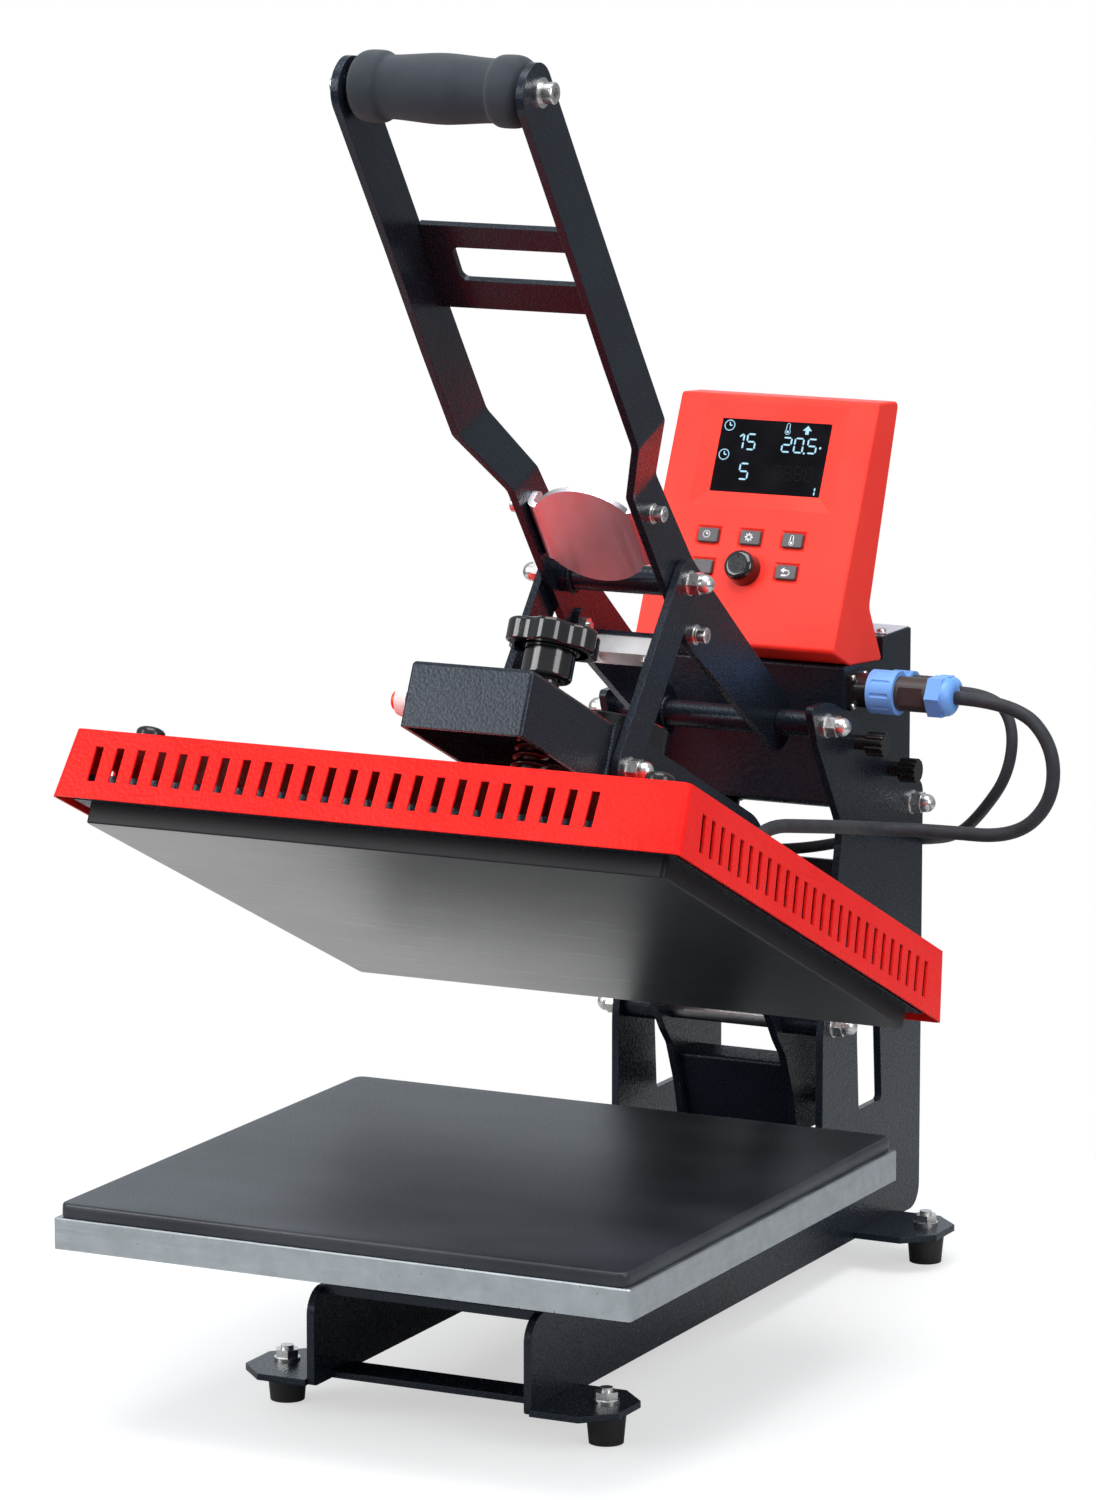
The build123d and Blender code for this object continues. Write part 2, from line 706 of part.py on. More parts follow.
HEAT_HALF = PLATEN / 2
heat = flat(
    [
        (-HEAT_HALF, HEAT_Y - HEAT_HALF, 3),
        (HEAT_HALF, HEAT_Y - HEAT_HALF, 3),
        (HEAT_HALF, HEAT_Y + HEAT_HALF, 3),
        (-HEAT_HALF, HEAT_Y + HEAT_HALF, 3),
    ],
    HEAT_BOTTOM,
    HEAT_TOP,
)
heat = chamfer(heat.faces().sort_by(Axis.Z)[0].edges(), 0.8)
save("heating_platen", opened(heat))

TRAY_TOP = HEAT_TOP + 16
tray_half = HEAT_HALF + FRAME_RIM
tray = block(-tray_half, tray_half, HEAT_Y - tray_half, HEAT_Y + tray_half, HEAT_TOP, TRAY_TOP)
tray -= block(
    THIN - tray_half, tray_half - THIN,
    HEAT_Y - tray_half + THIN, HEAT_Y + tray_half - THIN,
    HEAT_TOP + SHEET, TRAY_TOP + 1,
)
save("heater_tray", opened(tray))

SLAB_TOP = HEAT_TOP + SHEET + 12
slab_half = HEAT_HALF - 6
slab = block(
    -slab_half, slab_half, HEAT_Y - slab_half, HEAT_Y + slab_half, HEAT_TOP + SHEET, SLAB_TOP
)
BOSS_R = 18.0
slab -= rod_z(0, 0, HEAT_TOP, SLAB_TOP + 1, BOSS_R + 1)
save("insulation_slab", opened(slab))


def cover_block(inset, top, bottom):
    """Tapered block with rounded corners, inset from the cover's outer faces."""
    faces = []
    for z, half_x, half_y in (
        (bottom, COVER_X, COVER_Y + 3),
        (top, COVER_X - COVER_TAPER, COVER_Y - COVER_TAPER + 1),
    ):
        face = RectangleRounded(2 * (half_x - inset), 2 * (half_y - inset), 5 - inset)
        faces.append(Pos(0, HEAT_Y + 1, z) * face)
    return loft(faces)


cover = cover_block(0, COVER_TOP, COVER_BOTTOM)
cover -= cover_block(THIN, COVER_TOP - THIN, COVER_BOTTOM - 0.01)
SLOT_W = 5.5
slot_pitch = 14.2
for i in range(24):
    x = -181.5 + slot_pitch * i
    for y_wall in (HEAT_Y + 1 - COVER_Y, HEAT_Y + 1 + COVER_Y):
        cover -= block(x - SLOT_W / 2, x + SLOT_W / 2, y_wall - 8, y_wall + 8, 166, 188)
for i in range(26):
    y = -172.0 + slot_pitch * i
    for x_wall in (-COVER_X, COVER_X):
        cover -= block(x_wall - 8, x_wall + 8, y - SLOT_W / 2, y + SLOT_W / 2, 163.5, 186)
cover -= rod_z(0, 0, COVER_TOP - 5, COVER_TOP + 1, BOSS_R + RUN)
GLAND_Y = 190.0
GLANDS = (60.0, 8.0)
GLAND_R = 7.5
for x in GLANDS:
    cover -= rod_z(x, GLAND_Y, COVER_TOP - 5, COVER_TOP + 1, GLAND_R - 2 + RUN)
save("heater_cover", opened(cover))

SPINDLE_TOP = WHEEL_BOTTOM - 3
FLANGE_TOP = COVER_TOP + 6
spindle = rod_z(0, 0, HEAT_TOP + SHEET, COVER_TOP, BOSS_R)
spindle += rod_z(0, 0, COVER_TOP, FLANGE_TOP, 30)
spindle += rod_z(0, 0, FLANGE_TOP, SPINDLE_TOP, SPINDLE_R)
save("pressure_spindle", opened(spindle))

# Compression spring on the spindle, one wire with closed end turns
SPRING_R = 9.6
WIRE_R = 1.8
SPRING_TOP = CHANNEL_TOP - SHEET - PRESS_TRAVEL - 1.0
SPRING_TURNS = 11
coil_height = SPRING_TOP - FLANGE_TOP - 2 * WIRE_R
coil_pitch = coil_height / SPRING_TURNS
coil = Pos(0, 0, FLANGE_TOP + WIRE_R) * Helix(coil_pitch, coil_height, SPRING_R)
wire = sweep(Plane(origin=coil @ 0, z_dir=coil % 0) * Circle(WIRE_R), path=coil)
print("spring gap between turns", round(coil_pitch - 2 * WIRE_R, 2))
save("pressure_spring", opened(wire))

CABLE_1_R = 4.5
CABLE_2_R = 3.75
glands = []
GLAND_H = 14.0
for x, cable_r in zip(GLANDS, (CABLE_1_R, CABLE_2_R)):
    gland = extrude(
        Pos(x, GLAND_Y, COVER_TOP) * RegularPolygon(GLAND_R / math.cos(math.pi / 6), 6), amount=9
    )
    gland += rod_z(x, GLAND_Y, COVER_TOP - 3, COVER_TOP, GLAND_R - 2)
    gland += Pos(x, GLAND_Y, COVER_TOP + 9 + (GLAND_H - 9) / 2) * Cone(
        GLAND_R - 0.5, GLAND_R - 2, GLAND_H - 9
    )
    gland -= rod_z(x, GLAND_Y, COVER_TOP - 4, COVER_TOP + GLAND_H + 1, cable_r + GAP)
    glands.append(opened(gland))
save("head_cable_glands", *glands)

# Head arms, drawn shut

head_arm = plate(
    [
        (CHANNEL_BACK, CHANNEL_BOTTOM, 1),
        (150, CHANNEL_BOTTOM, 60),
        (236, 214, 30),
        (322, 168, 14),
        (342, 156, 8),
        (356, 150, 8),
        (379, 129, 25),
        (397, 107, 10),
        (441, 126, 12),
        (452, 149, 12),
        (412, 182, 20),
        (366, 194, 30),
        (330, 210, 40),
        (255, CHANNEL_TOP, 50),
        (CHANNEL_BACK, CHANNEL_TOP, 1),
    ],
    ARM_IN,
    ARM_OUT,
)
head_arm += rod_x(HEAD_PIVOT, ARM_IN, ARM_OUT, 15)
head_arm -= rod_x(HEAD_PIVOT, ARM_IN - 1, ARM_OUT + 1, SHAFT_R + RUN)
head_arm = opened(head_arm)
save("head_arm_right", head_arm)
save("head_arm_left", mirrored(head_arm))

# Folded channel on the front of the arms
channel_side = ARM_IN + SHEET
channel = block(
    -channel_side, channel_side, CHANNEL_FRONT, CHANNEL_BACK, CHANNEL_BOTTOM, CHANNEL_TOP
)
channel = fillet(channel.edges().filter_by(Axis.Y).group_by(Axis.Z)[-1], 3)
channel = fillet(channel.faces().sort_by(Axis.Y)[0].edges().group_by(Axis.Z)[-1], 2.5)
channel -= block(
    -ARM_IN, ARM_IN, CHANNEL_FRONT + SHEET, CHANNEL_BACK + 1, CHANNEL_BOTTOM - 1,
    CHANNEL_TOP - SHEET
)
channel += block(
    -ARM_IN, ARM_IN, CHANNEL_BACK - 1, MAGNET_Y - MAGNET_R - 8, CHANNEL_TOP - SHEET, CHANNEL_TOP
)
channel -= rod_z(0, 0, CHANNEL_TOP - 5, CHANNEL_TOP + 1, SPINDLE_R + RUN)
BUTTON_Y = -86.0
BUTTON_Z = 258.0
BUTTON_R = 7.0
channel -= rod_x((BUTTON_Y, BUTTON_Z), -channel_side - 1, -ARM_IN + 1, BUTTON_R + 1)
save("head_channel", opened(channel))

# Panels between the arms: magnet shelf and tail panel
SHELF_TOP = MAGNET_TOP - MAGNET_H
shelf = block(
    -ARM_IN, ARM_IN, MAGNET_Y - MAGNET_R, MAGNET_Y + MAGNET_R, SHELF_TOP - SHEET, SHELF_TOP
)
shelf += block(
    -ARM_IN, ARM_IN, MAGNET_Y + MAGNET_R - SHEET, MAGNET_Y + MAGNET_R,
    SHELF_TOP - 12, SHELF_TOP - SHEET
)
tail_panel = plate(
    [
        (356, 140.5, 2),
        (388, 140.5, 0),
        (388, 137.5, 0),
        (361, 137.5, 1),
        (374.5, 97, 0),
        (371.5, 96, 0),
    ],
    -ARM_IN,
    ARM_IN,
)
save("arm_cross_panels", opened(shelf), tail_panel)

magnet = rod_z(0, MAGNET_Y, SHELF_TOP, MAGNET_TOP, MAGNET_R)
magnet = chamfer(magnet.faces().sort_by(Axis.Z)[-1].edges(), 1)
ring_cut = rod_z(0, MAGNET_Y, MAGNET_TOP - 1, MAGNET_TOP + 1, 26)
ring_cut -= rod_z(0, MAGNET_Y, MAGNET_TOP - 2, MAGNET_TOP + 2, 13)
magnet -= ring_cut
save("electromagnet", opened(magnet))

# Release button on the left side of the channel
button_at = (BUTTON_Y, BUTTON_Z)
collar = rod_x(button_at, -channel_side - 2, -channel_side, 11)
collar += Pos(-channel_side - 5.5, *button_at) * Rot(0, 90, 0) * Cone(8.6, 11, 7)
collar += rod_x(button_at, -channel_side, -ARM_IN, BUTTON_R + 1 - RUN)
collar -= rod_x(button_at, -channel_side - 20, -ARM_IN + 1, BUTTON_R - 1 + RUN)
save("release_button_collar", opened(collar))
cap = rod_x(button_at, -channel_side - 13, -ARM_IN - 1, BUTTON_R - 1)
cap = fillet(cap.faces().sort_by(Axis.X)[0].edges(), 2)
save("release_button", opened(cap))

# Hand wheel with broad lobes, dished on top, hollow below, its bore open to the spindle
WHEEL_LOBES = 6
LOBE_TURN = math.radians(-72.0)
LOBE_DEPTH = 4.2
EDGE_R = 2.4
rim_points = []
steps = 8 * WHEEL_LOBES
for i in range(steps):
    a = 2 * math.pi * i / steps
    dip = (1 - math.cos(WHEEL_LOBES * (a - LOBE_TURN))) / 2
    r = WHEEL_R - LOBE_DEPTH * dip ** 1.5
    rim_points.append((r * math.cos(a), r * math.sin(a)))
rim_edge = Spline(*rim_points, periodic=True)
rim = extrude(Pos(0, 0, WHEEL_BOTTOM) * Face(Wire([rim_edge])), amount=WHEEL_TOP - WHEEL_BOTTOM)
rim = fillet(rim.faces().sort_by(Axis.Z)[-1].edges(), EDGE_R)
rim = fillet(rim.faces().sort_by(Axis.Z)[0].edges(), EDGE_R / 2)
pocket = rod_z(0, 0, WHEEL_BOTTOM - 1, WHEEL_TOP - 6, WHEEL_R - LOBE_DEPTH - 2.5)
pocket -= rod_z(0, 0, WHEEL_BOTTOM - 2, WHEEL_TOP - 5, 18)
dish = Pos(0, 0, WHEEL_TOP - 1) * Cone(15, 18, 2.2)
wheel = rim - pocket - dish
HUB_R = 15.9
HUB_BOTTOM = 299.0
hub = rod_z(0, 0, HUB_BOTTOM, WHEEL_BOTTOM, HUB_R)
wheel += fillet(hub.edges().filter_by(GeomType.CIRCLE).group_by(Axis.Z)[0], 3)
wheel += rod_z(0, 0, CHANNEL_TOP + WASHER + GAP, HUB_BOTTOM, 9)
wheel -= rod_z(0, 0, CHANNEL_TOP, SPINDLE_TOP + PRESS_TRAVEL + 2, SPINDLE_R + RUN)
wheel_washer = rod_z(0, 0, CHANNEL_TOP + GAP, CHANNEL_TOP + GAP + WASHER, 13)
wheel_washer -= rod_z(0, 0, CHANNEL_TOP, CHANNEL_TOP + 4, SPINDLE_R + RUN)
save("hand_wheel", opened(wheel), opened(wheel_washer))

# Handle, drawn open

ARM_CURVE = 30.0
handle_outline = [
    (-47.3, 825.4, 18),
    (29, 717, 300),
    (84, 640, 300),
    (121, 589, 12),
    (148, 554, 12),
    (203, 492, 60),
    (277, 435, 60),
    (350, 380, 12),
    (341, 352, 12),
    (330, 352, 6),
    (270, 390, 60),
    (198, 438, 60),
    (152, 496, 60),
    (118, 540, 12),
    (82, 579, 12),
    (43, 632, 300),
    (-4, 699, 300),
    (-78.5, 803, 18),
]
slab_all = plate(handle_outline, ARM_IN, UPPER_OUT)
slab_all += rod_x(HANDLE_PIVOT, ARM_IN, UPPER_OUT, 18.3)
fold_dir = Vector(0, -0.34, 0.94).normalized()
low_bend = Vector(0, 133, 547).dot(fold_dir)
high_bend = Vector(0, 101.5, 584).dot(fold_dir)
FOLD = Plane(origin=(0, 0, 0), x_dir=tuple(fold_dir), z_dir=(0, -fold_dir.Z, fold_dir.Y))
# The strip seen on edge: u along the arm, v is -X or +X by the plane's own sense
sense = 1 if FOLD.y_dir.X > 0 else -1
strip = [
    (0, sense * ARM_IN, 0),
    (low_bend, sense * ARM_IN, 10),
    (high_bend, sense * UPPER_IN, 15),
    (1200, sense * UPPER_IN, 0),
    (1200, sense * UPPER_OUT, 0),
    (high_bend, sense * UPPER_OUT, 10),
    (low_bend, sense * ARM_OUT, 15),
    (0, sense * ARM_OUT, 0),
]
strip_face = FOLD * outline(strip)
bent = extrude(strip_face, amount=600, both=True)
handle_arm = slab_all & bent
handle_arm -= rod_x(HANDLE_PIVOT, ARM_IN - 1, ARM_OUT + 1, SHAFT_R + RUN)
handle_arm -= rod_x(LINK_TOP, ARM_IN - 1, ARM_OUT + 1, STUD_R + RUN)
handle_arm -= rod_x(GRIP, UPPER_IN - 1, UPPER_OUT + 1, STUD_R + RUN)
LUG_BOLT = (143.0, 529.0)
BAR_BOLT = (205.0, 445.0)
SMALL_R = 3.0
for at in (LUG_BOLT, BAR_BOLT):
    handle_arm -= rod_x(at, ARM_IN - 1, ARM_OUT + 1, SMALL_R + RUN)
save("handle_arm_right", handle_arm)
save("handle_arm_left", mirrored(handle_arm))

# Tubes across the handle at its pivot and at the link pins
hub_tube = tube_x(HANDLE_PIVOT, -ARM_IN, ARM_IN, SPACER_R, SHAFT_R + RUN)
link_tube = tube_x(LINK_TOP, -ARM_IN, ARM_IN, 9, STUD_R + RUN)
link_tube += tube_x(LINK_TOP, -ARM_IN, -ARM_IN + 6, 11, STUD_R + RUN)
save("handle_cross_tubes", hub_tube, link_tube)

# Ladder brace between the upper arms
ladder_dir = (0.53, -0.848)
ladder_plane = Plane(
    origin=(0, 31, 713),
    x_dir=(1, 0, 0),
    z_dir=(0, ladder_dir[1], -ladder_dir[0]),
)
LADDER_H = 62.0
down_sign = 1 if ladder_plane.y_dir.Z < 0 else -1
ladder = ladder_plane * Pos(0, down_sign * LADDER_H / 2, 0) * Box(2 * UPPER_IN, LADDER_H, 4.5)
ladder_window = RectangleRounded(80, 25, 5)
ladder_hole = extrude(ladder_plane * Pos(0, down_sign * 28.5, 0) * ladder_window, 10, both=True)
ladder -= ladder_hole
save("ladder_brace", ladder)

# Grip: foam sleeve on a bolted tube
FOAM_HALF = UPPER_IN - 1.5
BORE_R = 9.0
COLLAR_W = 21.0
with BuildLine(Plane.XY) as foam_line:
    half_profile = [
        (-FOAM_HALF, BORE_R),
        (-FOAM_HALF, GRIP_R - 4),
    ]
    Polyline(*half_profile)
    RadiusArc((-FOAM_HALF, GRIP_R - 4), (-FOAM_HALF + 5, GRIP_R), 6)
    Line((-FOAM_HALF + 5, GRIP_R), (-FOAM_HALF + COLLAR_W - 3, GRIP_R))
    Spline(
        (-FOAM_HALF + COLLAR_W - 3, GRIP_R),
        (-FOAM_HALF + COLLAR_W + 2, GRIP_R - 2.6),
        (0, GRIP_R - 0.4),
        (FOAM_HALF - COLLAR_W - 2, GRIP_R - 2.6),
        (FOAM_HALF - COLLAR_W + 3, GRIP_R),
        tangents=((1, -0.2), (1, 0.2)),
    )
    Line((FOAM_HALF - COLLAR_W + 3, GRIP_R), (FOAM_HALF - 5, GRIP_R))
    RadiusArc((FOAM_HALF - 5, GRIP_R), (FOAM_HALF, GRIP_R - 4), 6)
    Polyline((FOAM_HALF, GRIP_R - 4), (FOAM_HALF, BORE_R), (-FOAM_HALF, BORE_R))
foam = revolve(make_face(foam_line.line), axis=Axis.X)
save("grip_foam", Pos(0, *GRIP) * foam)

grip_tube = tube_x(GRIP, -UPPER_IN, UPPER_IN, BORE_R - RUN, STUD_R + RUN)
BOLT_HEAD = 8.0
grip_bolt = rod_x(GRIP, 0.2, UPPER_OUT + WASHER, STUD_R)
grip_bolt += rod_x(GRIP, UPPER_OUT, UPPER_OUT + WASHER, 9)
grip_head = rod_x(GRIP, UPPER_OUT + WASHER, UPPER_OUT + WASHER + BOLT_HEAD, 6.5)
grip_head = chamfer(grip_head.faces().sort_by(Axis.X)[-1].edges(), 0.6)
grip_head -= hex_x(GRIP, UPPER_OUT + WASHER + 3, UPPER_OUT + WASHER + BOLT_HEAD + 1, 6)
save("grip_tube_and_bolts", grip_tube, *both(grip_bolt + grip_head))

# Long stud through both arms and links at the link top
link_stud = rod_x(LINK_TOP, -LINK_OUT - WASHER - 9, LINK_OUT + WASHER + 9, STUD_R)
top_nuts = both(washer(LINK_TOP, LINK_OUT)) + both(dome_nut(LINK_TOP, LINK_OUT + WASHER))
save("link_top_stud_and_nuts", link_stud, *top_nuts)

# Zinc armature plate bent up into a lug at each side, drawn shut over the magnet
ARMATURE_T = 4.0
ARMATURE_R = 38.0
ARMATURE_BEND = 7.0
armature_low = MAGNET_TOP + GAP
armature_top = armature_low + ARMATURE_T
flat_half = ARM_IN - ARMATURE_BEND
lug_half = math.sqrt(ARMATURE_R ** 2 - flat_half ** 2)
lug_shut = turned(LUG_BOLT, HANDLE_PIVOT, HANDLE_TRAVEL)
bent_up = block(
    -ARM_IN, ARM_IN, MAGNET_Y - lug_half, MAGNET_Y + lug_half, armature_low, lug_shut[1] + 8
)
bent_up = fillet(bent_up.edges().filter_by(Axis.Y).group_by(Axis.Z)[0], ARMATURE_BEND)
hollow = block(
    ARMATURE_T - ARM_IN, ARM_IN - ARMATURE_T,
    MAGNET_Y - lug_half - 1, MAGNET_Y + lug_half + 1,
    armature_top, lug_shut[1] + 9,
)
bent_up -= fillet(
    hollow.edges().filter_by(Axis.Y).group_by(Axis.Z)[0], ARMATURE_BEND - ARMATURE_T
)
bent_up &= plate(
    [
        (MAGNET_Y - lug_half, armature_low, 0),
        (MAGNET_Y + lug_half, armature_low, 0),
        (MAGNET_Y + lug_half, armature_top + 4, 3),
        (lug_shut[0] + 12, lug_shut[1] + 8, 7),
        (MAGNET_Y - lug_half, lug_shut[1] + 8, 5),
    ],
    -ARM_IN,
    ARM_IN,
)
disc = rod_z(0, MAGNET_Y, armature_low, armature_top, ARMATURE_R)
disc &= block(
    -flat_half, flat_half, MAGNET_Y - ARMATURE_R - 1, MAGNET_Y + ARMATURE_R + 1,
    armature_low - 1, armature_top + 1,
)
armature = bent_up + disc
armature -= rod_x(lug_shut, -ARM_IN - 1, ARM_IN + 1, SMALL_R + RUN)
save("armature_plate", handle_opened(armature))


def small_bolt(at, inner):
    """Socket-head screw with two washers through an arm on the right side."""
    bolt = rod_x(at, inner, ARM_OUT + 3, SMALL_R)
    bolt += rod_x(at, ARM_OUT, ARM_OUT + WASHER, 6.5)
    bolt += rod_x(at, ARM_OUT + WASHER, ARM_OUT + 2 * WASHER, 5.4)
    head = rod_x(at, ARM_OUT + 2 * WASHER, ARM_OUT + 2 * WASHER + 6, 5)
    head = chamfer(head.faces().sort_by(Axis.X)[-1].edges(), 0.5)
    head -= hex_x(at, ARM_OUT + 2 * WASHER + 3, ARM_OUT + 2 * WASHER + 7, 5)
    return bolt + head


small_bolts = both(small_bolt(LUG_BOLT, ARM_IN - ARMATURE_T))

# Bent bracket between the arms, with the bright buffer block below it
BAR_PLANE = Plane(origin=(0, BAR_BOLT[0], BAR_BOLT[1]), x_dir=(1, 0, 0),
                  z_dir=(0, -0.610, -0.792))
BAR_DROP = 9.0
BAR_T = 3.0
BLOCK_T = 12.0
EAR_W = 14.0
bar = BAR_PLANE * Pos(0, 0, BAR_DROP - BAR_T / 2) * Box(2 * ARM_IN, 18, BAR_T)
for x in (BAR_T / 2 - ARM_IN, ARM_IN - BAR_T / 2):
    ear = Box(BAR_T, EAR_W, BAR_DROP + 11)
    ear = fillet(ear.edges().filter_by(Axis.X).group_by(Axis.Z)[0], 5)
    bar += BAR_PLANE * Pos(x, 0, (BAR_DROP - 11) / 2) * ear
bar -= rod_x(BAR_BOLT, -ARM_IN - 1, ARM_IN + 1, SMALL_R + RUN)
save("buffer_bar", bar)
bright = Box(60, 16, BLOCK_T)
bright = chamfer(bright.edges().filter_by(Axis.Z), 3)
save("buffer_block", BAR_PLANE * Pos(0, 0, BAR_DROP + BLOCK_T / 2) * bright)
bar_nut = hex_x(BAR_BOLT, ARM_IN - BAR_T - 5, ARM_IN - BAR_T, 10)
small_bolts += both(small_bolt(BAR_BOLT, ARM_IN - BAR_T - 7) + bar_nut)
for x in (-16, 16):
    screw = BAR_PLANE * Pos(x, 0, BAR_DROP + BLOCK_T + 1.2) * Cylinder(3.2, 2.4)
    small_bolts.append(screw)
save("handle_small_bolts", *small_bolts)

# Links

LINK_HALF = 14.3
link_angle = angle_of(LINK_TOP, link_foot)
link_face = SlotCenterToCenter(link_length, 2 * LINK_HALF, rotation=link_angle)
link_mid = ((LINK_TOP[0] + link_foot[0]) / 2, (LINK_TOP[1] + link_foot[1]) / 2)
link = extrude(Plane.YZ.offset(LINK_IN) * Pos(*link_mid) * link_face, amount=PLATE)
link -= rod_x(LINK_TOP, LINK_IN - 1, LINK_OUT + 1, STUD_R + RUN)
link -= rod_x(link_foot, LINK_IN - 1, LINK_OUT + 1, STUD_R + RUN)
save("pull_links", *both(link))
foot_stud = rod_x(link_foot, LINK_IN, LINK_OUT + WASHER + 9, STUD_R)
foot_parts = [foot_stud, washer(link_foot, LINK_OUT), dome_nut(link_foot, LINK_OUT + WASHER)]
save("link_foot_studs", *[piece for part in foot_parts for piece in both(part)])

# Gas springs

GAS_R = 8.0
GAS_BODY = 122.0
gas_dir = ((tail_pin[0] - TIE_ROD[0]) / gas_open, (tail_pin[1] - TIE_ROD[1]) / gas_open)
GAS_PLANE = Plane(
    origin=(GAS_X, TIE_ROD[0], TIE_ROD[1]),
    x_dir=(1, 0, 0),
    z_dir=(0, gas_dir[0], gas_dir[1]),
)
ROD_R = 4.0
cylinder = GAS_PLANE * Pos(0, 0, 14 + (GAS_BODY - 14) / 2) * Cylinder(GAS_R, GAS_BODY - 14)
cylinder += GAS_PLANE * Pos(0, 0, 9) * Cylinder(4.5, 12)
cylinder -= GAS_PLANE * Pos(0, 0, 20 + GAS_BODY / 2) * Cylinder(ROD_R + RUN, GAS_BODY)
gas_eye = rod_x(TIE_ROD, GAS_X - EYE_HALF, GAS_X + EYE_HALF, 9.5)
cylinder += gas_eye
cylinder -= rod_x(TIE_ROD, GAS_X - 6, GAS_X + 6, SHAFT_R + RUN)
save("gas_spring_cylinders", *both(cylinder))

rod_from = 20 + GAS_STROKE + 4
gas_rod = GAS_PLANE * Pos(0, 0, (rod_from + gas_open - 6) / 2) * Cylinder(
    ROD_R, gas_open - 6 - rod_from
)
gas_rod += rod_x(tail_pin, GAS_X - EYE_HALF, GAS_X + EYE_HALF, 9)
gas_rod -= rod_x(tail_pin, GAS_X - 6, GAS_X + 6, STUD_R + RUN)
tail_stud = rod_x(tail_pin, LINK_IN, GAS_X + EYE_HALF + 3, STUD_R)
tail_stud += rod_x(tail_pin, LINK_IN, GAS_X - EYE_HALF, 7)
tail_stud += rod_x(tail_pin, GAS_X + EYE_HALF, GAS_X + EYE_HALF + 4, 6.5)
save("gas_spring_rods", *both(gas_rod), *both(tail_stud))

# Cables from the box to the head


def cable(points, radius):
    """Round cable along straight runs with tangent arcs, with its bend radii."""
    bends = []
    for i in range(1, len(points) - 1):
        before = Vector(*points[i]) - Vector(*points[i - 1])
        after = Vector(*points[i + 1]) - Vector(*points[i])
        turn = math.radians(before.get_angle(after))
        shorter = min(before.length, after.length)
        bends.append(0.45 * shorter / math.tan(turn / 2))
    limit = 12 * radius
    bends = [min(bend, limit) for bend in bends]
    path = FilletPolyline(*points, radius=bends)
    section = Plane(origin=path @ 0, z_dir=path % 0) * Circle(radius)
    swept = sweep(section, path=path)
    print("cable length", round(path.length, 1), "bends", [round(b, 1) for b in bends],
          "volume ratio", round(swept.volume / (math.pi * radius ** 2 * path.length), 3))
    return swept


gland_tip = turned((GLAND_Y, COVER_TOP + GLAND_H), HEAD_PIVOT, -HEAD_TILT)
up_y = math.sin(math.radians(HEAD_TILT))
up_z = math.cos(math.radians(HEAD_TILT))
cable_1 = [
    (141, PLUG_1[0], PLUG_1[1]),
    (183.2, PLUG_1[0], PLUG_1[1]),
    (209, 391, 358.2),
    (209, 391, 321.8),
    (183.2, 391, 296),
    (128, 391, 296),
    (88, 376, 297),
    (84, 322, 307),
    (GLANDS[0], gland_tip[0] + 50 * up_y, gland_tip[1] + 50 * up_z),
    (GLANDS[0], gland_tip[0], gland_tip[1]),
]
save("head_cable_1", cable(cable_1, CABLE_1_R))
cable_2 = [
    (130, PLUG_2[0], PLUG_2[1]),
    (154, PLUG_2[0], PLUG_2[1]),
    (171, 417, 364),
    (172, 406, 334),
    (150, 416, 306),
    (116, 458, 281),
    (72, 516, 264),
    (24, 506, 262),
    (8, 446, 264),
    (8, 340, 282),
    (GLANDS[1], gland_tip[0] + 52 * up_y, gland_tip[1] + 52 * up_z),
    (GLANDS[1], gland_tip[0], gland_tip[1]),
]
save("head_cable_2", cable(cable_2, CABLE_2_R))
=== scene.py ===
# %% [markdown]
# This is a flat clamshell heat press, standing open on its four rubber feet. The packed
# model already holds every solid at its true place, so this lesson only dresses it: it
# gives each solid a finish, and builds the pieces that a solid cannot show well, such as
# foam, cables, weld seams and the lit display.

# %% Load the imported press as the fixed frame
import math

import bmesh
import bpy
from mathutils import Matrix, Vector


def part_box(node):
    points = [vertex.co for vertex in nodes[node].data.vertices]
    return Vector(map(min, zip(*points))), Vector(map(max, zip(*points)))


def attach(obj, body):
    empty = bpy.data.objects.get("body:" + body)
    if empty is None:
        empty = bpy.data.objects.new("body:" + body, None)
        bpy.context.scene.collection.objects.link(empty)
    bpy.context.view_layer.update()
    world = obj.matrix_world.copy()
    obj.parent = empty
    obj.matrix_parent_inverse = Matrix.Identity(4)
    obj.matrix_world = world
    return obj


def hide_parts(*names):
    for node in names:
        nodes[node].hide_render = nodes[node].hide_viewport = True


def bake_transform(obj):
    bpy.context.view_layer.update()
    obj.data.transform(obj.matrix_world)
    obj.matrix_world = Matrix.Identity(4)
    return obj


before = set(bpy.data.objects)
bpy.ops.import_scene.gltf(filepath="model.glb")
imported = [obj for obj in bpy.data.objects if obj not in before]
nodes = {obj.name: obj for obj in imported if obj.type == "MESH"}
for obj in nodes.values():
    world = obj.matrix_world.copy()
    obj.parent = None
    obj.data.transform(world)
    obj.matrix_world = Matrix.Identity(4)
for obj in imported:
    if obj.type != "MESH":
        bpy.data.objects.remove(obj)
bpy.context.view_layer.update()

# %% [markdown]
# The press was looked at from its right front, a little above the open platen, through a
# long lens. A long focal length keeps the parallel edges of the plates nearly parallel.
# The camera stands far back and turns down by about ten degrees.

